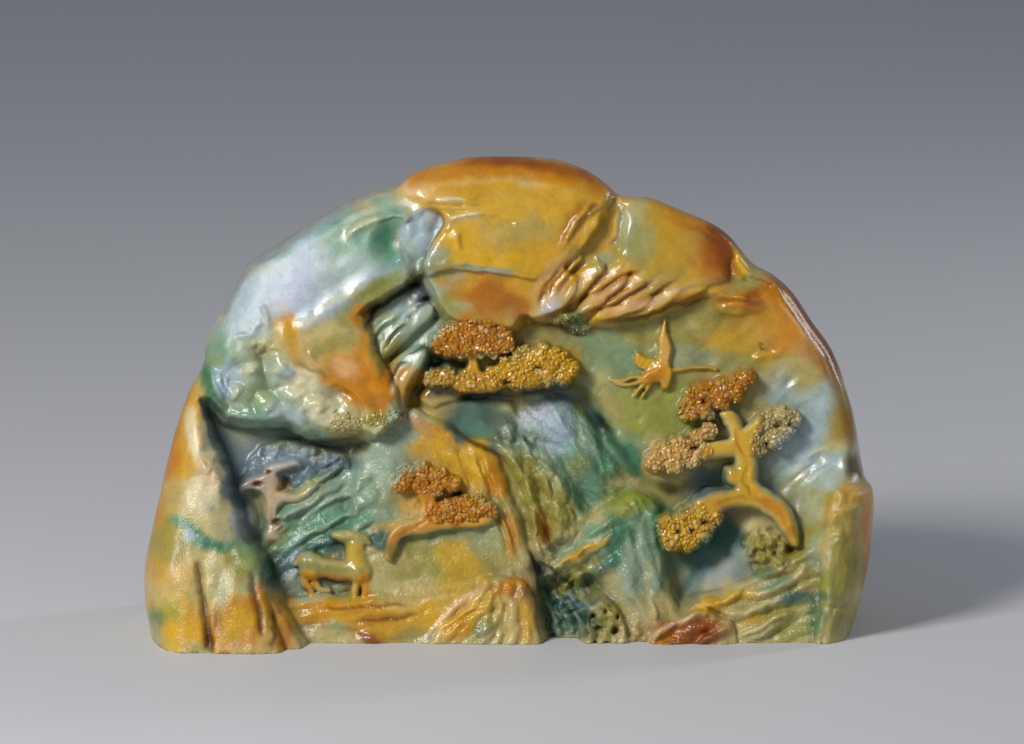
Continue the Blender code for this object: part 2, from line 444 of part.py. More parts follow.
def carve_ground(face):
    """The foreground along the foot, from the deer's ledge to the beds on the right."""
    ledge = [(-76, 6), (-66, 8), (-50, 8.5), (-38, 11), (-26, 12), (-15, 14), (-8, 12.5), (-14, 2), (-22, -4),
             (-28, -14), (-70, -14), (-76, -4)]
    face.block(ledge, 3.4, edge=3.0, lean=(0.0, 0.12))
    for path in ([(-70, 3), (-55, 3.5), (-40, 5), (-24, 4)], [(-64, -1), (-50, -0.5), (-36, 0.5), (-26, 0)]):
        face.fold(path, 0.9, left=1.2, right=2.6)
    face.lump((-52, -5), (6, 4), 1.5, 20)
    slab = [(-30, -14), (-24.5, -6), (-21, -1), (-15, 4), (-9, 10.5), (-5, 13), (-2, 2), (-6, -14)]
    face.block(slab, 0.8, edge=2.0)
    face.fold([(-24, -5), (-20, 0), (-15, 5), (-9, 11)], 0.8, left=1.0, right=2.0)
    face.groove([(-19, 1), (-12, 6), (-6, 8)], 0.7, 1.0)
    table = [(-9, 12.6), (-3, 13.6), (4, 12.6), (7.5, 9), (8.5, 2), (8, -14), (-10, -14), (-8.5, 2)]
    face.block(table, 0.5, edge=2.4, lean=(0.0, 0.05))
    for u in (-1.5, 3.5):
        face.groove([(u, 8), (u + 0.6, 0), (u - 0.4, -8)], 0.9, 1.6)
    face.fold([(13, 12), (17, 4), (21, -4)], 1.5, left=2.5, right=2.0)
    rock = [(24, 4.5), (28.5, 7.2), (33, 5.5), (36, 1.5), (37.5, -5), (37, -14), (24, -14), (23.6, -2)]
    face.block(rock, 1.5, edge=2.6)
    for place, size in (((28.8, -1.2), (1.7, 1.5)), ((33, -1), (1.8, 1.8)), ((29.8, 5), (1.3, 1.0)),
                        ((26.6, 2.6), (1.4, 1.0))):
        face.lump(place, size, -5.0)
    russet = [(44, -14), (46.5, -3), (51, 0.5), (56, 3), (60, 4.5), (66, 2), (70.5, 0), (69.5, -14)]
    face.block(russet, 0.2, edge=2.0)
    face.fold([(46, -4), (50.5, -0.5), (56, 2.2), (60, 3.6)], 1.0, left=1.0, right=2.5)
    face.fold([(60, -6), (64.5, -3), (70, -0.6)], 1.2, left=1.0, right=2.5)
    gold = [(56, 4.5), (61, 7), (68, 9), (76, 13), (84, 18), (92, 22), (98, 26), (99, 8), (98, -14),
            (72, -14), (71.5, -3), (68, 2.5), (62, 4.6)]
    face.block(gold, 2.6, edge=2.0, lean=(0.0, 0.08))
    for path, height in (
        ([(57, 4.5), (63, 5.6), (69, 7.8), (75, 11)], 1.0),
        ([(66, 3), (73, 3.5), (80, 6), (88, 9), (96, 13)], 1.5),
        ([(71, -3.5), (77, -1.4), (83, 1), (90, 4)], 1.6),
        ([(74, -5), (80, -3), (86, -0.5)], 1.0),
        ([(76, 9), (83, 11), (91, 15), (97, 20)], 1.6),
        ([(78, 14.5), (84, 16), (91, 19), (97, 24)], 1.5),
    ):
        face.fold(path, height, left=1.2, right=3.6)
    face.lump((82, 22), (7, 7.5), 5.5, 20)
    face.lump((80.5, 22), (2.4, 2.0), -3.0)


def carve_buttress(face):
    """The tall buttress on the left, which stands proud of everything and spreads to the foot."""
    shaft = [(-104, 76), (-99.8, 72.5), (-97, 67), (-94.4, 60.5), (-91, 51.5), (-88, 43), (-85.6, 35),
             (-84, 27.5), (-80.5, 24.5), (-77.8, 20), (-76.6, 12), (-75.4, 3), (-73, -3), (-73, -14),
             (-122, -14), (-122, 30), (-112, 60)]
    lean = BUTTRESS_PROUD / 76
    face.block(shaft, -BUTTRESS_PROUD + lean * 26, edge=4.0, lean=(0.0, lean))
    toe = [(-80, 12), (-75, 7), (-72, 2.5), (-69.5, -1), (-67, -4.5), (-65, -8), (-65, -14), (-82, -14)]
    face.block(toe, -7.5, edge=2.0, lean=(0.15, 0.1))
    face.groove([(-98, 21), (-97, 12), (-96, 4), (-95, -2), (-93.5, -10)], 1.8, 2.4, fade=0.1)
    face.groove([(-80.6, 18), (-80.2, 9), (-78.6, 2), (-76.5, -5)], 1.4, 2.0)
    face.fold([(-101.5, 66), (-99, 58), (-96, 50), (-92, 43)], 1.2, left=4.0, right=7.0)
    face.fold([(-97, 53), (-92.5, 45), (-90, 36)], 0.8, left=2.5, right=2.5)
    face.lump((-104, 14), (9, 16), 1.2)
    face.lump((-86, 8), (6, 12), 1.2)


def carve_pines(face):
    """Four pines: each a round trunk with boughs, and cushions of needles."""
    stems = [
        [(90, 25, 6, 3.2), (87.5, 33, 3.6, 3.8), (84, 38, 2.4, 3.8), (78, 40.5, 2, 3.2), (75, 43, 2, 3.2),
         (74.5, 50, 2, 2.6), (74, 57, 2.6, 2.6), (73, 62, 3.6, 2.4)],
        [(75, 42, 2.6, 2.6), (70, 40, 3.6, 2.0), (65, 38, 4, 1.8)],
        [(74.5, 48, 2.6, 2.0), (70, 52.5, 3.6, 1.8), (64, 54, 4, 1.6)],
        [(-12, 86, 4, 1.8), (-12, 79, 4, 2.0), (-10, 75, 5, 2.2)],
        [(-18, 33, 2.6, 1.8), (-25, 30.5, 2.4, 2.0), (-33, 28.8, 2.4, 2.0), (-36.5, 25, 3, 1.9), (-37.5,
         16, 4, 2.2)],
    ]
    pads = [
        ((-11, 89.5), (13, 5.6), -3, 1.6), ((6.5, 80.8), (15, 6.0), 9, 1.8), ((-14, 76), (13, 3.6), 2, 3.4),
        ((-28, 44.5), (13.5, 4.8), -3, 2.4), ((-16.5, 34.6), (12.5, 4.8), 9, 1.6),
        ((65.5, 71), (14, 5.8), 33, 2.4), ((59, 53), (14.5, 6.0), 12, 2.2), ((88, 58.5), (14, 6.4), 36, 4.0),
        ((57, 32), (12, 6.4), 26, 1.6),
    ]
    for middle, size, turn, level in pads:
        face.pad(middle, size, turn, level)
    for balls in stems:
        face.stem(balls)


def carve_animals(face):
    """A deer that looks back over its shoulder, and a crane with raised wings."""
    face.pad((-55, 16.8), (9.6, 4.4), 3, 4.4)
    deer = [
        [(-48.5, 18, 4.2, 2.6), (-46.6, 23, 4, 2.0), (-47.2, 26.8, 3.6, 2.0)],
        [(-47, 27, 3.2, 2.0), (-51, 28, 3.2, 1.6), (-54.6, 28.7, 3.6, 0.9)],
        [(-46.4, 27, 4, 0.9), (-43.6, 25.6, 4.6, 0.7)],
        [(-47, 15, 4.6, 1.9), (-46, 10.5, 4.6, 1.1), (-45.6, 7, 4.8, 1.1)],
        [(-63, 15.5, 4.8, 2.3), (-62.6, 11, 4.8, 1.4), (-58.6, 8.6, 4.8, 1.1)],
    ]
    face.pad((46, 78.3), (5.2, 2.9), 25, 5.4)
    crane = [
        [(44, 78, 5.6, 1.7), (40, 76.2, 5.6, 1.1), (36, 75.8, 5.8, 0.9), (32, 77, 6, 0.7)],
        [(43, 76, 6, 1.1), (40.5, 73, 6.2, 0.9), (38.5, 70.5, 6.6, 0.8)],
        [(50, 75, 5.8, 1.7), (50.3, 84, 6, 1.6), (50, 94.5, 7, 0.9)],
        [(46.5, 81.5, 6, 1.6), (43, 84, 6.2, 1.5), (39.6, 86.2, 6.8, 0.8)],
    ]
    for balls in deer + crane:
        face.stem(balls, blend=0.5)


def front_height(cell):
    """How far the carved face stands towards the eye, and how far in from the rim each point is."""
    face = Relief(cell, (-WIDTH / 2 - 6, -16), (WIDTH / 2 + 6, TALL + 4))
    for carve in (carve_hollows, carve_left_crag, carve_recess, carve_top_crag, carve_second_peak,
                  carve_strata, carve_right_rim, carve_mountains, carve_cave, carve_ground, carve_buttress,
                  carve_pines, carve_animals):
        carve(face)
    u, v = np.meshgrid(face.us, face.vs, indexing="ij")
    rim = signed_distance(u, v, spline(SKYLINE, closed=True, steps=3))
    full = FACE_PROUD + 2.0 * (1 - (u / (WIDTH / 2)) ** 2)
    rim_height = v * math.tan(SIGHT)
    return face, rim_height + (full - face.depth - rim_height) * swell(rim, RIM_ROUND), rim


def swell(rim, reach):
    """How full the block is, from the rim inwards, as the quarter of a superellipse."""
    turn = 1 - np.clip((rim + RIM_BAND) / (reach + RIM_BAND), 0, 1)
    return (1 - turn**2.3) ** (1 / 2.3)


def carve_back(rear):
    """The back: broad crags in the same manner, without figures."""
    crests = [
        ([(106, 2), (96, 30), (86, 58), (66, 84), (44, 108)], 4.5, 22, 34),
        ([(66, -8), (56, 22), (32, 44), (22, 72), (-2, 96), (-14, 126)], 5.0, 24, 36),
        ([(16, -6), (-4, 22), (-18, 50), (-42, 76), (-58, 106)], 4.6, 22, 34),
        ([(-32, -10), (-52, 22), (-62, 44), (-88, 66)], 4.0, 20, 28),
        ([(-82, -8), (-96, 20), (-106, 40)], 3.4, 18, 20),
        ([(44, 62), (24, 82), (0, 92)], 2.6, 10, 14),
        ([(2, 40), (-20, 60), (-36, 66)], 2.4, 9, 14),
        ([(74, 22), (60, 44), (44, 54)], 2.6, 10, 15),
        ([(-62, 80), (-42, 104), (-30, 124)], 2.8, 14, 10),
        ([(-70, 12), (-78, 34), (-92, 48)], 1.8, 8, 10),
        ([(36, 10), (30, 26), (14, 40)], 2.0, 9, 11),
    ]
    for path, height, left, right in crests:
        rear.fold(path, height, left=left, right=right, fade=0.35)


def back_height(cell):
    """How far the back stands behind the rim, over x and z."""
    rear = Relief(cell, (-WIDTH / 2 - 6, -4), (WIDTH / 2 + 6, TALL + 6))
    carve_back(rear)
    full = BACK_PROUD + (BACK_TOP_PROUD - BACK_PROUD) * np.clip(rear.vs / TALL, 0, 1) ** 1.3
    return rear, full[None, :] - rear.depth


class Block:
    """A grid of signed distances to the stone's surface, negative inside."""

    def __init__(self, cell):
        self.cell = cell
        self.x = np.arange(-WIDTH / 2 - MARGIN, WIDTH / 2 + MARGIN, cell)
        self.y = np.arange(-FACE_PROUD - BUTTRESS_PROUD - 6, BACK_PROUD + 8, cell)
        self.z = np.arange(-2.0, TALL + MARGIN, cell)
        y, z = np.meshgrid(self.y, self.z, indexing="ij")
        self.v = z * COS + y * SIN
        self.w = y * COS - z * SIN

    def sample(self, table, face, v):
        """Reads a table over the drawing plane at this grid's x and the given v."""
        rows = np.clip((self.x - face.us[0]) / face.cell, 0, len(face.us) - 2)
        i, s = rows.astype(int), (rows % 1)[:, None]
        low = table[i] * (1 - s) + table[i + 1] * s
        place = np.clip((v - face.vs[0]) / face.cell, 0, len(face.vs) - 2)
        j, t = place.astype(int), place % 1
        return low[:, j] * (1 - t) + low[:, j + 1] * t

    def shape(self):
        """The face, the back and the rim, brought together."""
        face, height, rim = front_height(self.cell / 2)
        rear, thick = back_height(self.cell)
        steep = 1 / np.sqrt(1 + sum(g**2 for g in np.gradient(height, face.cell)))
        front = (-self.w - self.sample(height, face, self.v)) * self.sample(steep, face, self.v)
        edge = self.sample(rim, face, self.z * COS)
        back = self.sample(thick, rear, self.z) * swell(edge, BACK_ROUND)
        slope = 1 / np.sqrt(1 + sum(g**2 for g in np.gradient(back, self.cell)))
        behind = (self.y[None, :, None] - back[:, None, :]) * slope[:, None, :]
        self.field = soft_max(np.maximum(front, behind), -self.sample(rim, face, self.v), RIM_BLEND)

    def mesh(self):
        """The surface of the block, as points and quads."""
        grid = openvdb.FloatGrid(4 * self.cell)
        near = np.clip(self.field, -3 * self.cell, 3 * self.cell).astype(np.float32)
        grid.copyFromArray(np.ascontiguousarray(near))
        points, quads = grid.convertToQuads()
        low = np.array([self.x[0], self.y[0], self.z[0]])
        return points * self.cell + low, quads


def carve_block():
    """The whole carving as one closed mesh, still with the stone below its base."""
    block = Block(CELL)
    block.shape()
    points, quads = block.mesh()
    mesh = bpy.data.meshes.new("rough_block")
    mesh.from_pydata((points * MM).tolist(), [], quads.tolist())
    return mesh


def loose_scraps(bm):
    """The vertices of every body but the largest: a thin carved edge can leave scraps."""
    left = set(bm.verts)
    bodies = []
    while left:
        body, front = set(), [left.pop()]
        while front:
            vert = front.pop()
            body.add(vert)
            for edge in vert.link_edges:
                other = edge.other_vert(vert)
                if other in left:
                    left.discard(other)
                    front.append(other)
        bodies.append(body)
    bodies.sort(key=len, reverse=True)
    return [vert for body in bodies[1:] for vert in body]


def remove_scraps(mesh):
    bm = bmesh.new()
    bm.from_mesh(mesh)
    bmesh.ops.delete(bm, geom=loose_scraps(bm), context="VERTS")
    bm.to_mesh(mesh)
    bm.free()


def thinned(mesh):
    """The mesh with fewer triangles: flat stretches take the larger ones."""
    rough = bpy.data.objects.new("rough_block", mesh)
    bpy.context.scene.collection.objects.link(rough)
    thin = rough.modifiers.new("Thin", "DECIMATE")
    thin.ratio = TRIANGLES / (2 * len(mesh.polygons))  # the polygons are quads
    graph = bpy.context.evaluated_depsgraph_get()
    thin_mesh = bpy.data.meshes.new_from_object(rough.evaluated_get(graph))
    bpy.data.objects.remove(rough)
    return thin_mesh


def saw_base(mesh):
    """Cuts the foot off flat at z = 0, closes it and centres the block over the origin."""
    bm = bmesh.new()
    bm.from_mesh(mesh)
    everything = bm.verts[:] + bm.edges[:] + bm.faces[:]
    cut = bmesh.ops.bisect_plane(
        bm, geom=everything, dist=1e-7, plane_co=(0, 0, 0), plane_no=(0, 0, 1), clear_inner=True
    )
    rim = [e for e in cut["geom_cut"] if isinstance(e, bmesh.types.BMEdge)]
    bmesh.ops.holes_fill(bm, edges=rim)
    box = np.array([v.co for v in bm.verts])
    middle = (box.min(0) + box.max(0)) / 2
    bmesh.ops.translate(bm, verts=bm.verts, vec=(-middle[0], -middle[1], 0.0))
    bmesh.ops.recalc_face_normals(bm, faces=bm.faces)
    bmesh.ops.triangulate(bm, faces=bm.faces)
    bm.to_mesh(mesh)
    bm.free()


def jade():
    material = bpy.data.materials.new("tricolour_jade")
    material.use_nodes = True
    shader = material.node_tree.nodes["Principled BSDF"]
    shader.inputs["Base Color"].default_value = (0.36, 0.30, 0.11, 1)
    shader.inputs["Roughness"].default_value = 0.18
    shader.inputs["Metallic"].default_value = 0.0
    return material


def main():
    for obj in list(bpy.data.objects):
        bpy.data.objects.remove(obj)
    rough = carve_block()
    remove_scraps(rough)
    mesh = thinned(rough)
    mesh.name = "jade_boulder"
    saw_base(mesh)
    mesh.materials.append(jade())
    boulder = bpy.data.objects.new("jade_boulder", mesh)
    collection = bpy.data.collections.new("jade_boulder_carving")
    bpy.context.scene.collection.children.link(collection)
    collection.objects.link(boulder)


if __name__ == "__main__":
    main()
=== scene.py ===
# %% [markdown]
# # A jade boulder carved as a mountain
#
# The real object is one polished block of jadeite, about 23 cm wide. A carver kept the shape of the
# boulder, sawed its foot flat so that it stands by itself, and cut the front into crags, pines, a cave, a
# deer and a crane. This lesson builds what the camera sees around a imported CAD model. The first step is
# to load that model as a fixed frame and keep its box, on which the stone is centred later.

# %% Load the frame
import math

import bmesh
import bpy
import numpy as np
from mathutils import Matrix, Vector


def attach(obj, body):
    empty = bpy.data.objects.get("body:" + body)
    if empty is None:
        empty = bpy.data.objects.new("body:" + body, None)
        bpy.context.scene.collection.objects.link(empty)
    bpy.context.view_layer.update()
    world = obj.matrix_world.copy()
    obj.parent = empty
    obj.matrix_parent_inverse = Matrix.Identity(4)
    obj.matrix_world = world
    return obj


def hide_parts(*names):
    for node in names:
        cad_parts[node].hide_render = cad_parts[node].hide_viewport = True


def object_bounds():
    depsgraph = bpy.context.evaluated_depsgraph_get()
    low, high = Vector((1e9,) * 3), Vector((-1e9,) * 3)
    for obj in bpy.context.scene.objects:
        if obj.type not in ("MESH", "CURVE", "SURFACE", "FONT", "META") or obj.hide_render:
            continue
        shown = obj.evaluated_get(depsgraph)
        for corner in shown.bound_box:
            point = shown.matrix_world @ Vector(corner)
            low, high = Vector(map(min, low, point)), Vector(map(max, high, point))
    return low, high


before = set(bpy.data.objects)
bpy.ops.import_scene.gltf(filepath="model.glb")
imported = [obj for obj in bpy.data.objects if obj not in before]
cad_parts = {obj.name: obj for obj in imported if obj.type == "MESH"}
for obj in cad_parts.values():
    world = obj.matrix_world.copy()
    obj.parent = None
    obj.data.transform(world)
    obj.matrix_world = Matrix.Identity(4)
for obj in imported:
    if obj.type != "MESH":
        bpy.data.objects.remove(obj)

import openvdb
from mathutils import Vector

cad_low, cad_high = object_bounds()
print("CAD box, mm:", [round(1000 * (b - a), 1) for a, b in zip(cad_low, cad_high)])

# %% [markdown]
# ## Measures of the block
#
# A relief like this is laid out the way the carver drew it: on a sheet held square to the eye. On that
# sheet u runs right and v runs up, in millimetres. The sheet leans back by the angle of sight, because
# the carving is seen from a little above level. A single depth for each point of the sheet then says how
# far the tool went in, and it is the natural way to describe a relief.

# %% Measures and the angle of sight
WIDTH = 232.0
TALL = 150.0
FACE_PROUD = 36.0
BACK_PROUD = 33.0
BACK_TOP_PROUD = 14.0
BUTTRESS_PROUD = 12.0
RIM_ROUND = 13.0
BACK_ROUND = 24.0
RIM_BAND = 0.8
RIM_BLEND = 2.5
WALL_SLOPE = 2.8
REACH = 11.0
SHEET_CELL = 0.3
STONE_CELL = 0.55
STONE_TRIANGLES = 194_000
MM = 0.001
SIGHT = math.radians(10.0)
SIN, COS = math.sin(SIGHT), math.cos(SIGHT)
print("sheet leans back by", round(math.degrees(SIGHT)), "degrees")

# %% [markdown]
# ## Curves
#
# Every edge on the carving is a free curve. A Catmull-Rom spline passes through the points that are
# given, so a few points give a smooth edge. The helpers below turn it into a polyline, and measure how
# far each point of the sheet lies from it, and on which side.

# %% Curve helpers


def spline(points, closed=False, steps=5):
    """A Catmull-Rom curve through the points, as a polyline."""
    knots = np.array(points, float)
    if closed:
        ring = np.vstack([knots[-1], knots, knots[:2]])
    else:
        ring = np.vstack([2 * knots[0] - knots[1], knots, 2 * knots[-1] - knots[-2]])
    t = np.arange(steps)[:, None] / steps
    runs = []
    for a, b, c, d in zip(ring, ring[1:], ring[2:], ring[3:]):
        bend = (2 * a - 5 * b + 4 * c - d) * t**2 + (3 * b - a - 3 * c + d) * t**3
        runs.append(0.5 * (2 * b + (c - a) * t + bend))
    if not closed:
        runs.append(knots[-1:])
    return np.vstack(runs)


def along(u, v, path):
    """Distance to a polyline, the side of it (1 is left of its run) and how far along it, from 0 to 1."""
    best = np.full(u.shape, 1e9)
    side = np.ones(u.shape)
    place = np.zeros(u.shape)
    lengths = np.hypot(*(path[1:] - path[:-1]).T)
    starts = np.concatenate([[0.0], np.cumsum(lengths)])
    for i, (a, b) in enumerate(zip(path, path[1:])):
        du, dv = b - a
        span = max(lengths[i] ** 2, 1e-12)
        t = np.clip(((u - a[0]) * du + (v - a[1]) * dv) / span, 0, 1)
        off_u, off_v = u - a[0] - t * du, v - a[1] - t * dv
        gap = off_u**2 + off_v**2
        nearer = gap < best
        best[nearer] = gap[nearer]
        side[nearer] = np.sign(du * off_v - dv * off_u)[nearer]
        place[nearer] = ((starts[i] + t * lengths[i]) / starts[-1])[nearer]
    return np.sqrt(best), side, place


def inside(u, v, ring):
    """Which points lie inside a closed polyline."""
    odd = np.zeros(u.shape, bool)
    for a, b in zip(ring, np.roll(ring, -1, axis=0)):
        if a[1] == b[1]:
            continue
        crosses = (a[1] > v) != (b[1] > v)
        odd ^= crosses & (u < a[0] + (v - a[1]) * (b[0] - a[0]) / (b[1] - a[1]))
    return odd


def signed_distance(u, v, ring):
    """Distance to a closed polyline, positive inside it."""
    gap = along(u, v, np.vstack([ring, ring[:1]]))[0]
    return np.where(inside(u, v, ring), gap, -gap)


def soft_min(a, b, k):
    mix = np.clip(0.5 + 0.5 * (b - a) / k, 0, 1)
    return b + (a - b) * mix - k * mix * (1 - mix)


def soft_max(a, b, k):
    return -soft_min(-a, -b, k)


def ease(t):
    t = np.clip(t, 0, 1)
    return t * t * (3 - 2 * t)


print("a square through the spline has", len(spline([(0, 0), (1, 0), (1, 1), (0, 1)], True)), "points")

# %% [markdown]
# ## Random clouds
#
# Nothing in stone is even. Colour drifts in soft clouds, and a hand-polished face is never quite flat.
# Noise made on a lattice of random numbers gives both. The seed is fixed, so each run gives the same
# stone. Each finer layer is turned a little, so that no grid shows through.

# %% A noise for the sheet


def clouds(u, v, size, seed, layers=4):
    """Soft random patches from 0 to 1, the largest about this size in mm."""
    total, weight, sum_weight = 0.0, 1.0, 0.0
    for layer in range(layers):
        lattice = np.random.default_rng(seed * 100 + layer).random((64, 64))
        turn = 0.6 + 1.1 * layer
        a = (u * math.cos(turn) - v * math.sin(turn)) * 2**layer / size + 17.3
        b = (u * math.sin(turn) + v * math.cos(turn)) * 2**layer / size + 5.9
        i, j = np.floor(a).astype(int), np.floor(b).astype(int)
        s, t = ease(a - i), ease(b - j)
        i, j = i % 64, j % 64
        i2, j2 = (i + 1) % 64, (j + 1) % 64
        low = lattice[i, j] * (1 - s) + lattice[i2, j] * s
        high = lattice[i, j2] * (1 - s) + lattice[i2, j2] * s
        total = total + weight * (low * (1 - t) + high * t)
        sum_weight += weight
        weight *= 0.5
    return total / sum_weight


def blurred(table, reach):
    """The table with each value averaged over a square of cells about this wide, twice over."""
    n = max(int(reach), 1)
    for _ in range(2):
        for axis in (0, 1):
            pads = [(0, 0), (0, 0)]
            pads[axis] = (n + 1, n)
            running = np.cumsum(np.pad(table, pads, mode="edge"), axis=axis)
            high = [slice(None), slice(None)]
            low = [slice(None), slice(None)]
            high[axis] = slice(2 * n + 1, None)
            low[axis] = slice(0, -2 * n - 1)
            table = (running[tuple(high)] - running[tuple(low)]) / (2 * n + 1)
    return table


print("cloud sample:", np.round(clouds(np.array([0.0, 8.0]), np.array([3.0, 9.0]), 6.0, 1), 2))

# %% [markdown]
# ## The colours of the jade
#
# This jadeite has three colours at once. Iron gave the skin and the seams honey, orange and russet. The
# core is white to lavender-blue, and chromium gave the greens. We name each colour once, in the numbers
# that a screen shows, and turn it into the linear values that Blender mixes light with.

# %% Palette


def screen_colour(red, green, blue):
    """A screen colour from 0 to 255 as linear values."""
    c = np.array([red, green, blue]) / 255
    return np.where(c < 0.04045, c / 12.92, ((c + 0.055) / 1.055) ** 2.4)


JADE = {name: screen_colour(*rgb) for name, rgb in {
    "honey": (196, 148, 30), "gold": (206, 160, 26), "orange": (190, 122, 0), "russet": (148, 78, 4),
    "rust": (126, 58, 14), "peach": (206, 164, 92), "rose": (218, 180, 140), "sand": (186, 172, 116),
    "cream": (222, 212, 174), "olive": (144, 136, 56), "moss": (94, 98, 36), "leaf": (134, 146, 48),
    "mist": (146, 166, 144), "ice": (160, 180, 192), "lavender": (172, 178, 198),
    "slate": (98, 120, 134), "sea": (90, 142, 118), "emerald": (24, 106, 72), "teal": (36, 90, 90),
    "spruce": (20, 62, 52), "ink": (14, 24, 28), "brown": (84, 48, 16), "grey": (130, 132, 134),
}.items()}
print(len(JADE), "colours named")

# %% [markdown]
# ## The carver's sheet
#
# The class below holds the sheet: the depth of the carving and the colour of the stone at each of its
# points. Its methods are a carver's moves. A block stays standing while the ground around it goes, a
# pocket is sunk, a fold is a crest with its own fall on each side, a stem is a round limb and a lens is a
# long lobe. Chisel and chip leave the marks of the tool. A dab, a fill and a streak change the colour.
# Outlines are bent a little, since no hand cuts a perfect curve. Working on one sheet keeps colour and edge
# in step, as on the real carving, where the carver chose what to cut by the colour that lay there.

# %% The sheet and its tools


class Sheet:
    """Depth under the block's raw skin, and colour, over the drawing plane."""

    def __init__(self, cell, low, high, colour):
        self.low, self.cell = np.array(low, float), cell
        self.us = np.arange(low[0], high[0] + cell, cell)
        self.vs = np.arange(low[1], high[1] + cell, cell)
        self.u, self.v = np.meshgrid(self.us, self.vs, indexing="ij")
        self.depth = np.zeros(self.u.shape)
        self.tint = np.ones(self.u.shape + (3,)) * JADE[colour]
        self.wander_u = 2 * clouds(self.u, self.v, 9.0, 1, 5) - 1
        self.wander_v = 2 * clouds(self.u, self.v, 9.0, 2, 5) - 1
        self.bend_u = 2.6 * clouds(self.u, self.v, 13.0, 5, 2) + 1.3 * clouds(self.u, self.v, 3.2, 6,
                                                                              2) - 1.95
        self.bend_v = 2.6 * clouds(self.u, self.v, 13.0, 7, 2) + 1.3 * clouds(self.u, self.v, 3.2, 8,
                                                                              2) - 1.95
        self.needles = np.zeros(self.u.shape)
        self.grains = np.zeros(self.u.shape)
        self.matte = np.zeros(self.u.shape)
        self.tooled = np.zeros(self.u.shape)

    def window(self, path, reach, bend=1.0):
        """The part of the sheet near a path: its index, and its u and v, bent a little as hand work is."""
        first = np.floor((path.min(0) - reach - self.low) / self.cell).astype(int)
        last = np.ceil((path.max(0) + reach - self.low) / self.cell).astype(int) + 1
        part = tuple(slice(max(a, 0), max(b, 0)) for a, b in zip(first, last))
        return part, self.u[part] + bend * self.bend_u[part], self.v[part] + bend * self.bend_v[part]

    def raise_to(self, part, s, top, edge, blend, wall=WALL_SLOPE):
        """Leaves stone standing where s, the distance in from an edge, is positive, with a rounded edge."""
        turn = 1 - np.clip(s / edge, 0, 1)
        side = edge * (1 - np.sqrt(np.clip(1 - turn**2, 0, 1))) + wall * np.maximum(-s, 0)
        self.depth[part] = soft_min(self.depth[part], top + side, blend)

    def block(self, outline, level, edge=2.0, lean=(0.0, 0.0), crown=0.0, blend=0.8, wall=WALL_SLOPE,
              grow=0.0):
        """Leaves a mass standing at a level under the skin, with a rounded edge and steep sides."""
        ring = spline(outline, closed=True)
        part, u, v = self.window(ring, REACH)
        s = signed_distance(u, v, ring) + grow
        middle = ring.mean(0)
        top = level + lean[0] * (u - middle[0]) + lean[1] * (v - middle[1])
        top = top - crown * (1 - (1 - np.clip(s / (4 * edge), 0, 1)) ** 2)
        self.raise_to(part, s, top, edge, blend, wall)

    def pocket(self, outline, level, edge=2.0, lean=(0.0, 0.0), blend=0.8, wall=WALL_SLOPE):
        """Sinks a hollow to a level under the skin."""
        ring = spline(outline, closed=True)
        part, u, v = self.window(ring, REACH)
        s = signed_distance(u, v, ring)
        middle = ring.mean(0)
        floor = level + lean[0] * (u - middle[0]) + lean[1] * (v - middle[1])
        turn = 1 - np.clip(s / edge, 0, 1)
        side = edge * (1 - np.sqrt(np.clip(1 - turn**2, 0, 1))) + wall * np.maximum(edge / wall - s, 0)
        self.depth[part] = soft_max(self.depth[part], floor - side, blend)

    def stem(self, balls, colour=None, blend=0.8, strength=0.85, flat=1.0):
        """Leaves a limb standing along a path of (u, v, level, radius), round or, below 1, flatter."""
        line = spline(balls)
        part, u, v = self.window(line[:, :2], line[:, 3].max() + 4.0, 0.3)
        gap, _, place = along(u, v, line[:, :2])
        run = np.concatenate([[0], np.cumsum(np.hypot(*np.diff(line[:, :2], axis=0).T))])
        level = np.interp(place, run / run[-1], line[:, 2])
        radius = np.interp(place, run / run[-1], line[:, 3])
        self.raise_to(part, radius - gap + 0.12 * radius * self.wander_u[part], level, radius * flat, blend,
                      6.0)
        cover = ease((radius - gap) / 0.6 + 0.5)
        self.needles[part] *= 1 - cover
        if colour:
            self.mix(part, cover * strength, colour)

    def pad(self, puffs, level):
        """A cloud of pine needles: puffs of (u, v, radius), each one a cluster of small balls."""
        chance = np.random.default_rng(int(100 * abs(puffs[0][0])))
        for u0, v0, radius in puffs:
            balls = [(0, 0, 0.75)] + [(0.62 * math.cos(a), 0.62 * math.sin(a), 0.46) for a in
                                      chance.uniform(0, 0.6) + np.arange(6) * math.pi / 3]
            for du, dv, share in balls:
                place = (u0 + du * radius, v0 + dv * radius)
                part, u, v = self.window(np.array([place], float), radius + 3, 0.0)
                size = share * radius * chance.uniform(0.85, 1.15)
                s = size - np.hypot(u - place[0], v - place[1]) + 0.12 * self.wander_u[part] * radius
                self.raise_to(part, s, level + chance.uniform(-0.5, 0.7), size, 0.4, 6.0)
                self.needles[part] = np.maximum(self.needles[part], ease(s / 0.9 + 0.5))

    def lens(self, path, width, level, lift=0.0, blend=0.4, wall=WALL_SLOPE):
        """Leaves a long lobe standing along a path, widest in the middle and fuller on its left side."""
        line = spline(path)
        part, u, v = self.window(line, width + 5, 0.5)
        gap, side, place = along(u, v, line)
        reach = width * (0.2 + 0.8 * np.sqrt(np.clip(4 * place * (1 - place), 0, 1)))
        s = reach * np.where(side > 0, 1.15, 0.75) - gap
        self.raise_to(part, s, level + lift * side * gap, 0.45 * width, blend, wall)

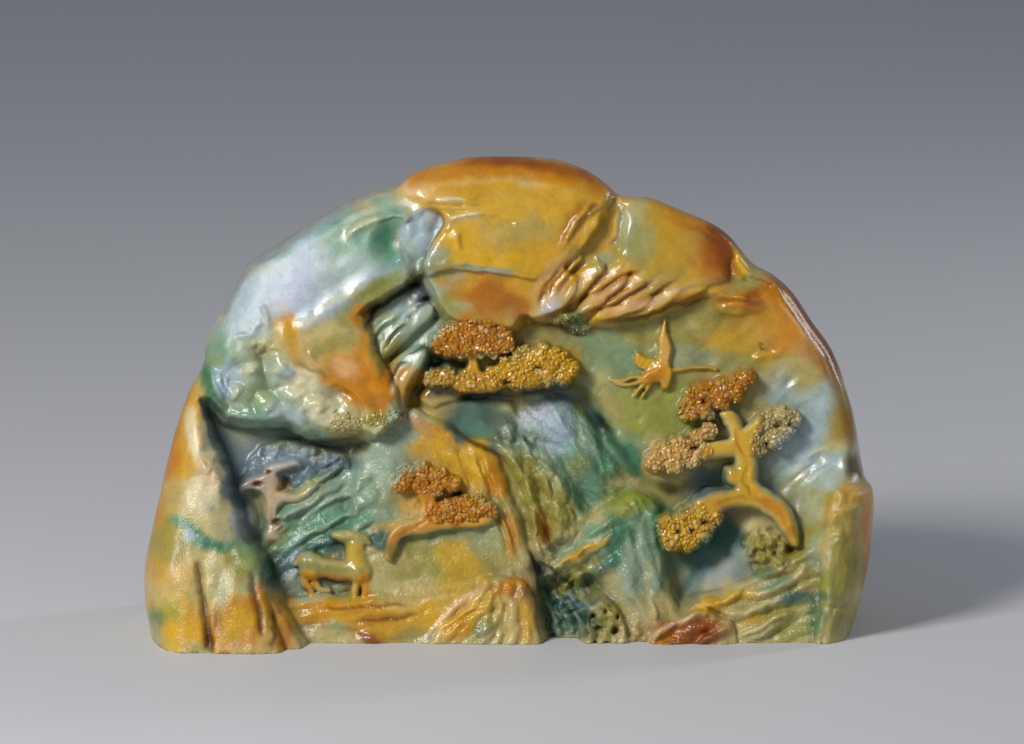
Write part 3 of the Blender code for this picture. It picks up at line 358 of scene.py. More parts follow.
    def fold(self, path, height, left=4.0, right=1.0, fade=0.25):
        """Raises a crest along a path, with its own fall on each side, which fades out at the ends."""
        line = spline(path)
        part, u, v = self.window(line, max(left, right))
        gap, side, place = along(u, v, line)
        rise = ease(1 - gap / np.where(side > 0, left, right))
        rise *= ease(np.minimum(place, 1 - place) / fade + 0.12)
        self.depth[part] -= height * rise

    def fall(self, path, left, right, round_over=4.0, reach=60.0):
        """Lets the skin fall away from a crest, at its own rate on each side."""
        line = spline(path)
        part, u, v = self.window(line, reach)
        gap, side, _ = along(u, v, line)
        far = np.sqrt(gap**2 + round_over**2) - round_over
        self.depth[part] += far * np.where(side > 0, left, right) * ease((reach - gap) / 10)

    def groove(self, path, depth, width=1.4, fade=0.15, colour=None, strength=0.6):
        """Cuts a line, and darkens it if a colour is given."""
        self.fold(path, -depth, width, width, fade)
        if colour:
            self.streak(path, width, colour, strength)

    def lump(self, place, size, height, turn=0.0):
        """Adds a rounded swelling, or a dimple if the height is negative."""
        part, u, v = self.window(np.array([place], float), max(size), 0.0)
        c, s = math.cos(math.radians(turn)), math.sin(math.radians(turn))
        du, dv = u - place[0], v - place[1]
        r2 = ((c * du + s * dv) / size[0]) ** 2 + ((c * dv - s * du) / size[1]) ** 2
        self.depth[part] -= height * np.clip(1 - r2, 0, 1) ** 1.3

    def lean_back(self, start, span, rate):
        """Leans the top of a crag back above a level line."""
        part, u, v = self.window(np.array([(span[0], start), (span[1], start + 12)], float), 4.0)
        sides = ease((u - span[0]) / 6 + 0.5) * ease((span[1] - u) / 6 + 0.5)
        self.depth[part] += rate * sides * np.maximum(v - start, 0)

    def chisel(self, outline, turn, pitch, height, stretch=5.0, edge=3.0, seed=3):
        """Covers a patch with ragged ridges that run along one direction."""
        ring = spline(outline, closed=True)
        part, u, v = self.window(ring, 0.0)
        fade = ease(signed_distance(u, v, ring) / edge)
        c, s = math.cos(math.radians(turn)), math.sin(math.radians(turn))
        bent = v + 2.0 * self.wander_v[part]
        run, rise = (c * u + s * bent) / stretch, c * bent - s * u
        ridge = 1 - np.abs(2 * clouds(run, rise, pitch, seed, 2) - 1) * 2
        self.depth[part] -= height * fade * ridge
        self.tooled[part] = np.maximum(self.tooled[part], fade * min(height, 1.0))

    def chip(self, outline, turn, size, height, stretch=2.0, edge=3.0, seed=3):
        """Covers a patch with flat chips at many angles, which meet in sharp edges."""
        ring = spline(outline, closed=True)
        part, u, v = self.window(ring, 0.0)
        fade = ease(signed_distance(u, v, ring) / edge)
        c, s = math.cos(math.radians(turn)), math.sin(math.radians(turn))
        a, b = (c * u + s * v) / (size * stretch) + 40, (c * v - s * u) / size + 40
        spots = np.random.default_rng(seed).random((32, 32, 5))
        i, j = np.floor(a).astype(int), np.floor(b).astype(int)
        top = np.full(a.shape, -9.0)
        for di in (-1, 0, 1):
            for dj in (-1, 0, 1):
                spot = spots[(i + di) % 32, (j + dj) % 32]
                da, db = a - i - di - spot[..., 0], b - j - dj - spot[..., 1]
                tilt = (spot[..., 2] - 0.5) * da * 2.4 + (spot[..., 3] - 0.5) * db * 2.4
                top = np.maximum(top, 0.8 * spot[..., 4] + tilt - 1.6 * (da**2 + db**2))
        self.depth[part] -= height * fade * (top - 0.35)
        self.tooled[part] = np.maximum(self.tooled[part], fade * min(0.7 * height, 1.0))

    def mix(self, part, amount, colour):
        self.tint[part] += (JADE[colour] - self.tint[part]) * np.clip(amount, 0, 1)[..., None]

    def dab(self, colour, u0, v0, across, up, turn=0.0, strength=0.9):
        """A cloud of colour in the stone."""
        part, u, v = self.window(np.array([(u0, v0)], float), 1.8 * max(across, up))
        wide = 1.1 * min(across, up)
        c, s = math.cos(math.radians(turn)), math.sin(math.radians(turn))
        du, dv = u - u0 + wide * self.wander_u[part], v - v0 + wide * self.wander_v[part]
        r = np.hypot((c * du + s * dv) / across, (c * dv - s * du) / up)
        self.mix(part, strength * ease((1.4 - r) / 0.9), colour)

    def dabs(self, marks):
        for mark in marks:
            self.dab(*mark)

    def fill(self, outline, colour, strength=0.9, soft=1.2, rough=1.0):
        """Colours the inside of an outline."""
        ring = spline(outline, closed=True)
        part, u, v = self.window(ring, soft)
        s = signed_distance(u, v, ring) + rough * self.wander_u[part]
        self.mix(part, strength * ease(s / soft + 0.5), colour)
        self.tooled[part] *= 1 - ease(s / soft + 0.5)

    def streak(self, path, width, colour, strength=0.7, fade=0.2):
        """Draws a soft line of colour."""
        line = spline(path)
        part, u, v = self.window(line, 2 * width)
        gap, _, place = along(u, v, line)
        gap = gap + 0.35 * width * self.wander_v[part]
        ends = ease(np.minimum(place, 1 - place) / fade + 0.1)
        self.mix(part, strength * ends * ease(1.3 - gap / width), colour)

    def scatter(self, kind, outline, amount=1.0, soft=1.0):
        """Marks where small grains or an unpolished skin cover the stone."""
        ring = spline(outline, closed=True)
        part, u, v = self.window(ring, 1.0)
        s = signed_distance(u, v, ring) + 0.8 * self.wander_u[part]
        kind[part] = np.maximum(kind[part], amount * ease(s / soft + 0.5))

    def polish_with_painted_highlight(self, path, width):
        """Leaves a band along a path with the best polish, and paints a cream highlight along it."""
        line = spline(path)
        part, u, v = self.window(line, 2 * width)
        gap, _, _ = along(u, v, line)
        self.matte[part] *= 1 - ease(1.6 - gap / width)
        self.streak(path, width, "cream", 0.45)

    def read(self, table, u, v):
        """Looks a table up at any points of the sheet."""
        a = np.clip((u - self.low[0]) / self.cell, 0, len(self.us) - 1.001)
        b = np.clip((v - self.low[1]) / self.cell, 0, len(self.vs) - 1.001)
        i, j = a.astype(int), b.astype(int)
        s, t = a - i, b - j
        if table.ndim == 3:
            s, t = s[..., None], t[..., None]
        low = table[i, j] * (1 - s) + table[i + 1, j] * s
        high = table[i, j + 1] * (1 - s) + table[i + 1, j + 1] * s
        return low * (1 - t) + high * t


face = Sheet(SHEET_CELL, (-WIDTH / 2 - 6, -16), (WIDTH / 2 + 6, TALL + 4), "sand")
print("the sheet has", face.depth.shape, "points")

# %% [markdown]
# ## Clouds of colour
#
# Before any cutting, the block is coloured as the raw boulder was: lavender-white at the upper left,
# honey and russet over the top and down the right side, green and grey-green through the middle, and
# orange skin along the left edge. Each dab is a soft patch with a ragged border, laid one by one. Large ones
# come first, and the smaller ones that belong to one carved form come with that form.

# %% Lay the broad colours
CLOUDS = [
    ("olive", 20, 90, 60, 50, 0, 0.6), ("honey", 10, 125, 46, 26, 0, 0.9),
    ("ice", -62, 106, 36, 22, 36, 1.0), ("lavender", -66, 104, 18, 8, 38, 0.7),
    ("mist", -84, 84, 12, 16, 0, 0.9), ("ice", -82, 98, 10, 12, 0, 0.7),
    ("sea", -44, 124, 14, 9, 20, 0.8), ("sea", -70, 121, 20, 3.5, 32, 0.5),
    ("sea", -93, 80, 5, 14, 0, 0.8), ("mist", -50, 112, 10, 6, 30, 0.5),
    ("mist", -30, 90, 16, 16, 0, 0.9), ("mist", -72, 66, 22, 9, 0, 0.9),
    ("slate", -66, 50, 26, 10, 0, 1.0), ("slate", -87, 46, 6, 18, 12, 1.0), ("sea", -62, 30, 24, 14, 30,
     0.95),
    ("teal", -66, 17, 16, 7, 0, 0.7), ("honey", -20, 48, 20, 20, 0, 0.9), ("gold", -14, 52, 12, 9, 0, 0.7),
    ("mist", -40, 55, 8, 12, -20, 0.9), ("sea", -42, 40, 8, 8, 0, 0.6), ("olive", -18, 20, 20, 9, 0, 0.9),
    ("teal", -8, 64, 12, 9, -20, 0.9), ("mist", 10, 60, 16, 12, -30, 1.0), ("ice", 18, 62, 6, 9, 10, 0.9),
    ("emerald", 29, 55, 12, 8, -50, 0.8), ("sea", 24, 46, 12, 10, 0, 0.8), ("olive", 6, 44, 8, 16, 24, 0.9),
    ("spruce", 16, 6, 12, 12, 0, 1.0), ("teal", 26, 14, 10, 8, 30, 0.8), ("sea", 36, 26, 14, 14, 0, 0.8),
    ("teal", 60, 22, 9, 14, 0, 0.95), ("slate", 62, 34, 11, 5, 20, 0.7), ("ice", 58, 16, 5, 6, 0, 0.4),
    ("sea", 66, 24, 8, 9, 40, 0.7), ("olive", 66, 90, 24, 14, -8, 0.9), ("honey", 76, 92, 12, 9, 0, 0.7),
    ("sea", 30, 84, 14, 9, -30, 0.6), ("leaf", 46, 66, 12, 9, 0, 0.7), ("mist", 56, 84, 12, 6, -10, 0.5),
    ("spruce", 20, 72, 6, 9, 20, 0.6), ("ice", 90, 66, 13, 11, 0, 0.9), ("mist", 94, 58, 12, 12, 0, 0.9),
    ("slate", 84, 50, 9, 7, 40, 0.6), ("olive", 98, 74, 8, 9, -40, 0.7), ("sand", 100, 36, 9, 12, 0, 0.8),
    ("teal", 66, 44, 9, 4, 20, 0.8), ("slate", 60, 42, 8, 4, 10, 0.6), ("sea", 40, 56, 7, 5, -40, 0.5),
    ("russet", 94, 94, 7, 20, 38, 0.95), ("russet", 104, 76, 6, 18, 22, 0.95), ("orange", 84, 96, 5, 12,
     30, 0.7),
    ("mist", 90, 58, 15, 15, 0, 0.8), ("ice", 92, 54, 12, 11, 40, 0.8), ("ice", 96, 66, 7, 8, 0, 0.6),
    ("mist", 96, 36, 9, 9, 0, 0.6), ("olive", 96, 18, 18, 16, 0, 0.9), ("sand", 80, 14, 12, 9, 10, 0.6),
     ("honey", -104, 50, 9, 30, -15, 0.9),
    ("orange", -112, 50, 6, 34, -15, 0.95), ("sand", -100, 36, 9, 12, 0, 0.8), ("gold", -98, 2, 20, 12, 0,
     0.9),
    ("orange", -84, -2, 12, 12, 0, 0.8), ("sand", -92, 12, 8, 10, 0, 0.6), ("honey", -44, 3, 34, 7, 0, 0.95),
    ("gold", -14, 5, 14, 10, 30, 0.9), ("peach", 2, 4, 8, 10, 0, 0.6), ("russet", 56, -4, 13, 6, 12, 0.9),
]
face.dabs(CLOUDS)
print(len(CLOUDS), "clouds of colour")

# %% [markdown]
# ## The outline and the ground
#
# The outline is what the boulder keeps of its natural shape. The first cuts sink the ground behind
# everything, field by field, so that the later forms can stay standing in front of it.

# %% Outline and first hollows
SKYLINE = [
    (-112, -40), (-113.5, -8), (-115.7, 5), (-116, 16.6), (-114.2, 26.2), (-110.4, 43), (-106.8, 58),
    (-103.6, 68), (-101, 74.5), (-98, 79.5), (-96.6, 84), (-96.2, 89), (-92, 96.5), (-88, 104), (-82.7,
     113.4),
    (-76.4, 117.6), (-63.6, 125.9), (-50.8, 133.2), (-40, 137.2), (-34.8, 138.2), (-31.6, 141.2),
    (-25.2, 144.1), (-18.8, 145.6), (-12.5, 147), (0.3, 147.3), (13.1, 146.6), (19.5, 145), (25.9, 142.2),
    (31.5, 138), (34.8, 135.2), (40, 134.6), (45, 134.2), (51.4, 131.6), (64.2, 126.2), (70.6, 121.4),
    (77, 113.7), (83.4, 110.2), (89.8, 104.5), (96.2, 95), (102.6, 85.9), (107.5, 73), (110.3, 62),
    (111.6, 54), (113.2, 46), (115.7, 42), (116, 33), (114.7, 20), (112.8, 10), (110.5, 1), (109, -5),
    (107, -40),
]


def carve_hollows():
    stage = [(-76, -30), (-77, 10), (-84, 27), (-88, 43), (-95, 63), (-82, 62), (-64, 58.5), (-47, 57),
             (-33, 65), (-38, 74), (-44, 88), (-44, 98), (-28, 107), (-22, 103), (-18, 96), (2, 96),
             (10, 96), (24, 97), (26, 90), (27, 62), (38, 48), (58, 34), (68, 20), (68, -30)]
    face.pocket(stage, 9.0, edge=1.5, wall=5.0)
    field = [(14, 62), (15, 90), (20, 108), (40, 110), (60, 106), (72, 102.5), (80, 101), (87, 95),
             (94, 85), (100, 74), (104, 62), (104, 50), (101, 38), (98, 24), (97, -30), (60, -30), (54, 28),
             (36, 38), (20, 46)]
    face.pocket(field, 9.0, edge=6.0, blend=2.5, wall=1.2)
    cave = [(-96, 68), (-90, 63.5), (-82, 62), (-71, 61.5), (-64, 58.5), (-55, 59), (-46, 57.5), (-38, 50),
            (-36, 38), (-38, 20), (-43, 8), (-58, 5), (-70, 4), (-78, 8), (-80, 20), (-84, 28), (-88, 36),
            (-91, 48), (-95, 58)]
    face.pocket(cave, 13, edge=3.0, lean=(0.03, 0.08), wall=2.4)
    recess = [(-46, 89), (-46.8, 95), (-43.5, 99.5), (-38, 102.5), (-33, 105), (-28, 108.5), (-24.5, 107),
              (-21, 102), (-18, 96), (-14, 88), (-10, 76), (-18, 68), (-27, 62), (-33, 65), (-37, 72),
              (-42, 82)]
    face.pocket(recess, 14, edge=2.5, lean=(0.12, 0.05), wall=5.0)
    shadow = [(-30, 73), (-20, 75), (-12, 73), (0, 73), (10, 75), (19, 77), (25, 75), (28, 69), (32.5, 62),
              (34, 55), (41, 48.5), (50, 43), (49, 38), (36, 38), (28, 33), (20, 36), (10, 50), (-8, 58),
              (-22, 62)]
    face.pocket(shadow, 13.5, edge=3.0, wall=1.6, blend=2.0)
    valley = [(43, 41), (50, 43), (58, 47), (66, 51), (71, 53), (76, 50), (76, 40), (74, 30), (70, 20),
              (64, 13), (60, 6), (54, 3), (49, 10), (46, 24)]
    face.pocket(valley, 14, edge=4.0, wall=1.2, blend=3.0)
    gully = [(8, 13), (15, 15), (24, 15), (29, 12), (29, 4), (26, -10), (9, -10), (9, 0)]
    face.pocket(gully, 12, edge=2.0, lean=(0.0, 0.15), wall=4.0)
    hollow = [(75, 45), (80, 53), (87, 57), (93, 62), (99, 63), (103, 60), (105, 53), (104, 44), (99, 35),
              (92, 28), (84, 34), (76, 41)]
    face.pocket(hollow, 11, edge=4.0, wall=1.0, blend=3.0)
    for first, reach in ((4, 1.6), (54, 4.0)):
        calm = ease((face.u - first) / 10)
        face.depth += calm * (blurred(face.depth, reach / face.cell) - face.depth)


carve_hollows()
print("deepest hollow:", round(face.depth.max(), 1), "mm")

# %% [markdown]
# ## The pale crag
#
# The left shoulder is the largest polished face, white to lavender-blue. A crest runs down it from the
# right, and below it an orange tongue of rock hangs over the cave, with soft lobes beside it. Broad folds
# with unlike falls on their two sides give the shoulder its planes.

# %% Carve the left crag


def carve_left_crag():
    face.fall([(-106, 72), (-92, 80), (-80, 86.4), (-70, 92), (-60, 97.6), (-50, 104), (-41, 110.6),
               (-32, 118), (-24, 128), (-20, 142)], 0.15, 0.0)
    for crest in (
        ([(-84, 109), (-70, 118), (-58, 124.5), (-46, 130.5), (-37, 134.5)], 0.9, 1.0, 5.0),
        ([(-74, 86), (-68, 90), (-60, 95.4), (-52, 101.4), (-44, 107.4), (-36, 113)], 1.3, 6.5, 4.0, 0.3),
        ([(-90, 104), (-88, 94), (-90, 84)], 1.2, 4, 9),
    ):
        face.fold(*crest)
    under = [(-92, 84), (-82, 88), (-74, 89), (-68, 82), (-60, 79), (-52, 76), (-46, 70), (-43, 62),
             (-50, 56), (-64, 57), (-80, 60), (-92, 63), (-96, 72)]
    face.pocket(under, 2.4, edge=4.0, wall=0.7, blend=2.5)
    tongue = [(-73, 95), (-72, 87), (-67.5, 80.5), (-60, 77.5), (-55, 74), (-51.5, 69), (-46, 66.5),
              (-40, 65), (-34, 66.5), (-35, 74), (-38, 80), (-42, 88), (-46, 98), (-56, 102), (-66, 99)]
    face.block(tongue, 0.2, edge=4.0, lean=(0.0, -0.03), crown=0.8)
    face.fold([(-72, 94), (-70.5, 86), (-65, 80), (-57.5, 78.5)], 0.8, left=4.0, right=2.0)
    face.fold([(-63, 86), (-60, 81), (-55, 79.5)], 0.8, left=2.0, right=1.2)
    for u, v, height in ((-78.4, 94, 0.8), (-79.6, 80, 1.1), (-70.6, 79.6, 1.0), (-58, 68.6, 1.0),
                         (-84.6, 72, 0.9), (-66, 71.6, 0.8), (-74, 67.6, 0.8), (-52, 65.6, 0.9)):
        path = [(u - 2.8, v - 2.4), (u, v - 0.2), (u + 2.4, v + 2.2)]
        face.fold(path, height, left=3.6, right=1.2, fade=0.4)
        # A painted highlight in cream along the lit side of each small facet.
        face.streak([(a - 0.8, b + 0.9) for a, b in path], 1.1, "cream", 0.5, fade=0.4)
    face.fold([(-77, 101), (-75.6, 97), (-75.4, 92)], 0.8, left=1.6, right=1.4)
    face.fold([(-86, 91), (-82, 90.4), (-78, 92.4)], 0.7, left=1.4, right=1.8)
    face.chip([(-100, 74), (-88, 84), (-72, 92), (-54, 104), (-36, 116), (-30, 134), (-60, 134),
               (-100, 110)], 34, 9.0, 0.4, stretch=2.2, edge=6.0, seed=51)
    for swelling in (
        ((-80, 73.5), (9, 9), 2.2, 20), ((-69, 73), (7.5, 9), 2.0, -10), ((-61, 69), (7, 6), 1.8, 10),
        ((-80, 79.6), (3.2, 2.6), 1.2, -30), ((-70, 79), (3.2, 2.4), 1.2, 10),
        ((-76, 65), (9, 4.5), 1.8, 0), ((-63, 63.5), (8, 5), 2.0, 0), ((-51, 62), (8, 4.5), 2.4, 10),
    ):
        face.lump(*swelling)
    face.chip(under, -38, 6.0, 2.2, stretch=1.3, edge=3.0, seed=52)
    face.chisel(under, 40, 3.0, 0.2, stretch=2.0, seed=53)
    face.chip(tongue, -52, 5.0, 0.8, stretch=2.0, edge=3.0, seed=54)
    face.chip([(-81, 88.5), (-74, 90), (-70, 85), (-73, 81.4), (-80, 82)], 40, 1.7, 1.0, stretch=1.2,
              edge=2.0, seed=76)
    face.fold([(-66, 66), (-61.5, 69.4), (-57, 70)], 1.0, left=2.0, right=1.6)
    face.fold([(-80, 62.5), (-74, 64.5), (-69, 66.5)], 0.9, left=2.0, right=1.6)
    for path in ([(-92.8, 82), (-92.4, 76), (-89.4, 70)], [(-90.6, 81), (-90, 75), (-87.6, 70.5)],
                 [(-88.6, 79), (-88, 75), (-86.4, 72)]):
        face.fold(path, 1.0, left=0.9, right=1.2)
        # A painted highlight in ice along each flute.
        face.streak(path, 0.8, "ice", 0.8)
    face.lump((-95.5, 87.5), (3, 4.5), -1.2, 60)
    face.lump((-37.5, 120.5), (6.5, 8), -3.2, -20)
    face.fold([(-52, 121), (-46, 124.5), (-40, 127.5), (-34, 128.5), (-31, 125.5)], 1.2, left=3.0, right=1.2)
    facet = [(-33, 127), (-28, 130.5), (-16, 131), (-12, 122), (-14, 108), (-24, 105), (-30, 108),
             (-34, 114), (-34.5, 121)]
    face.pocket(facet, 2.0, edge=0.5, lean=(0.24, -0.04), blend=1.0, wall=0.5)
    face.chip(facet, 50, 5.0, 1.5, stretch=1.4, edge=1.0, seed=70)


def colour_left_crag():
    strip = [(-92, 99), (-84, 113), (-76, 119), (-63, 128), (-50, 135), (-40, 139), (-37, 137), (-48, 131.5),
             (-60, 125), (-72, 117.2), (-80, 111), (-85, 105), (-89, 98)]
    face.fill(strip, "grey", 0.75, soft=1.4)
    face.scatter(face.matte, strip)
    dome = [(-100, 76), (-90, 84), (-78, 88), (-66, 96), (-52, 106), (-38, 116), (-32, 126), (-36, 142),
            (-60, 132), (-84, 116), (-98, 96)]
    face.scatter(face.matte, dome, 0.4, 6.0)
    # The crest lines get the best polish and a painted highlight in cream.
    face.polish_with_painted_highlight([(-67, 92.6), (-60, 97.2), (-53, 102.6), (-46, 107.4)], 1.8)
    face.polish_with_painted_highlight([(-53, 121.4), (-46, 125.4), (-39, 128)], 1.4)
    tongue = [(-73, 95), (-72, 87), (-67.5, 80.5), (-60, 77.5), (-55, 74), (-51.5, 69), (-46, 66.5),
              (-40, 65), (-34, 66.5), (-35, 74), (-38, 80), (-42, 88), (-46, 96), (-56, 94), (-66, 92)]
    face.fill(tongue, "honey", 0.75, soft=4.0)
    face.dabs([
        ("emerald", -38, 121, 3.6, 5.5, -10, 0.8), ("sea", -36, 116, 5, 4, 0, 0.6), ("ice", -26, 121, 6, 8,
         0, 0.9),
        ("mist", -28, 112, 5, 5, 0, 0.8), ("moss", -30, 109, 5, 3, 40, 0.8), ("olive", -46, 101, 16, 4, 38,
         0.85),
        ("leaf", -40, 108, 7, 3, 38, 0.6), ("orange", -46.5, 98.5, 4, 3, 30, 0.8), ("peach", -70, 98, 5, 4,
         0, 0.2),
        ("honey", -68, 90, 3.4, 7, 24, 0.9), ("orange", -68, 94, 2.6, 3.4, 0, 0.5), ("sand", -58, 90, 8, 5,
         20, 0.8),
        ("olive", -55, 88, 9, 3, 16, 0.7), ("orange", -46, 78, 11, 10, 30, 0.95), ("russet", -43, 74, 8, 7,
         30, 0.35), ("orange", -43, 86, 5, 9, 0, 0.8),
        ("orange", -42, 71, 9, 5, 0, 0.9), ("russet", -42, 69, 6, 2.6, 0, 0.4), ("rose", -51, 81, 4.4, 2.6,
         -20, 0.5),
        ("honey", -40, 92, 6, 7, 30, 0.7), ("sand", -76, 86, 6, 4, 0, 0.8),
        ("emerald", -94, 75, 2.4, 8, 8, 0.9), ("teal", -91.5, 68, 3, 6, 0, 0.6), ("ice", -88, 76, 3.4, 6,
         10, 0.8),
        ("cream", -66, 76, 5, 6, 0, 0.8), ("mist", -74, 74, 6, 6, 0, 0.6), ("ice", -70, 66, 7, 3, 0, 0.5),
         # The cream dab at (-60, 67.5) is a painted highlight on a lobe.
         ("leaf", -77, 71, 4, 6, 0, 0.35), ("cream", -60, 67.5, 5, 4, 0, 0.8),
        ("sea", -80, 65, 9, 3.4, -10, 0.6), ("sand", -51, 63, 7, 4, 0, 0.9), ("olive", -40, 64.5, 8, 2.6,
         0, 0.8),
        ("ice", -78, 94, 6, 7, 0, 0.7),
    ])
    face.streak([(-88, 63), (-80, 60), (-70, 60.6), (-60, 59), (-50, 57.5)], 1.0, "sea", 0.6)
    face.streak([(-66, 82), (-60, 79), (-55, 77)], 0.7, "moss", 0.6)
    face.scatter(face.grains, [(-56, 67), (-50, 67), (-47, 63), (-50, 60.5), (-56, 61)])
    face.scatter(face.grains, [(-47, 65.5), (-40, 66.5), (-34, 65.5), (-34, 63), (-42, 62), (-47, 63)])


carve_left_crag()
colour_left_crag()
print("left crag: crest at", round(float(face.read(face.depth, -60.0, 97.0)), 1), "mm under the skin")

# %% [markdown]
# ## Leaves of rock in the recess
#
# Between the two crags a deep recess holds rock in thin leaves, each with a polished edge and a dark line
# behind it, which is painted shade. Each leaf is a lens that stays standing in the pocket, one behind the
# other, and a thin crest along it catches the light, helped by a painted highlight.

# %% Carve the recess


def carve_recess():
    for path, width, level in (
        ([(-24, 107), (-30, 104), (-35, 100.4), (-40, 96)], 2.4, 9.0),
        ([(-45, 89), (-41.6, 94), (-36, 98.6), (-29, 103)], 3.6, 6.6),
        ([(-41.6, 83), (-37, 90), (-31.4, 95), (-24, 99.6)], 5.0, 5.4),
        ([(-35, 80), (-31, 86), (-26, 90.4), (-19, 95)], 3.6, 7.8),
        ([(-34.6, 66), (-35.6, 73), (-32.6, 80), (-26.6, 86)], 4.6, 4.4),
    ):
        face.lens(path, width, level, lift=0.36, blend=0.5, wall=4.0)
    for path, height in (([(-39, 84), (-35.6, 90), (-31, 94)], 0.8), ([(-36.6, 72), (-35.4, 77.6),
                                                                       (-32, 82.6)], 1.0), ([(-43, 90),
                                                                                             (-39.6, 94),
                                                                                             (-35, 97.6)],
                                                                                            0.6)):
        face.fold(path, height, left=1.6, right=1.6)
        # A painted highlight in cream along each fold.
        face.streak(path, 1.0, "cream", 0.7)
    face.lump((-29, 103.6), (2.6, 2.6), 3.0)
    low = [(-28, 72), (-24, 76), (-18, 78), (-14, 75), (-18, 70), (-25, 68)]
    face.block(low, 8.0, edge=2.0)
    face.chisel([(-46, 88), (-30, 108), (-20, 100), (-26, 84), (-32, 66), (-38, 70)], 56, 3.0, 0.3,
                stretch=4.0, seed=72)


def colour_recess():
    face.dabs([
        ("mist", -30, 92, 8, 5, 40, 0.9), ("sea", -38, 93, 4, 6, -30, 0.7), ("lavender", -28.6, 103, 3, 3,
         0, 0.9),
        ("olive", -38, 86, 2.6, 6, -30, 0.8), ("peach", -33, 77, 5, 6, -30, 0.6), ("honey", -31, 72, 4, 5,
         -30, 0.8),
        ("spruce", -24, 82, 4, 4, 0, 0.8), ("sea", -20, 76, 6, 3, 0, 0.6), ("honey", -17, 74, 6, 3, 0, 0.6),
    ])
    # Painted shade: a dark ink line behind each leaf.
    for path in ([(-26, 108), (-32, 106), (-39, 101), (-43.2, 96.7), (-45, 91)],
                 [(-24, 104), (-31, 97.4), (-36.2, 91), (-39.7, 86)],
                 [(-24, 88), (-30.6, 85.4), (-35.4, 80), (-37.6, 74)]):
        face.streak(path, 1.0, "ink", 0.8)


carve_recess()
colour_recess()
print("recess carved")

# %% [markdown]
# ## The summit
#
# The top crag carries the darkest skin of the stone along its crown, then peach and honey below it. Two
# fine lines are etched near its left tip, and a brow of rock parts the upper slab from an orange block.

# %% Carve the top crag


def carve_top_crag():
    cap = [(-34.8, 138), (-33, 134.5), (-28, 132), (-22.5, 128.8), (-20.5, 125.5), (-24, 119), (-26.2, 114),
           (-25.6, 108.5), (-22.5, 104), (-20.5, 99.4), (-17, 95.4), (-8, 93.8), (0, 93.4), (3.6, 97),
           (6, 102.5), (10, 107), (16, 112), (22, 118), (27, 125), (31, 132), (33, 139), (20, 151),
           (-20, 151), (-34, 142)]
    face.block(cap, -1.0, edge=2.6)
    face.lean_back(139.0, (-36, 30), 0.6)
    face.groove([(-27, 132.2), (-20, 131.2), (-13, 131.3)], 0.7, 1.0)
    face.fold([(-24.5, 132.6), (-19, 133.5), (-13, 133.4), (-8, 132.0)], 0.8, left=0.9, right=0.9)
    face.groove([(-24, 129.6), (-16, 129.4), (-9, 129.8)], 0.6, 1.0)
    face.fold([(-19.5, 127.0), (-14, 127.7), (-8, 128.3)], 0.9, left=0.9, right=0.9)
    face.groove([(-16, 131.2), (-9, 131)], 0.5, 0.8)
    face.groove([(-9, 127.4), (-3, 127), (1.5, 125)], 0.6, 0.9)
    for crest in (
        ([(-17.4, 122), (-15, 120.6), (-14.6, 117)], 0.8, 1.2, 2.0),
        ([(-22, 118), (-19, 113), (-20, 106)], 0.5, 3.5, 3.5),
        ([(-20, 113.6), (-12, 113), (-4, 112.4), (5, 110.6)], 0.9, 6.0, 1.2),
    ):
        face.fold(*crest)
    brow = [(-27, 106), (-20, 111.6), (-12, 111), (-4, 110.4), (4, 108.8), (12, 104), (12, 86), (-28, 86)]
    face.pocket(brow, 1.0, edge=1.2)
    for path in ([(24, 134), (20, 127), (16, 121), (14, 117)], [(27, 134), (24, 128), (19, 121)]):
        face.groove(path, 0.5, 3.0)
    slab = [(-26, 130), (26, 132), (20, 118), (8, 104), (-8, 96), (-24, 98)]
    face.chip(slab, 16, 9.0, 0.45, stretch=1.8, edge=5.0, seed=55)
    face.chisel(slab, 4, 3.0, 0.3, stretch=3.0, seed=56)


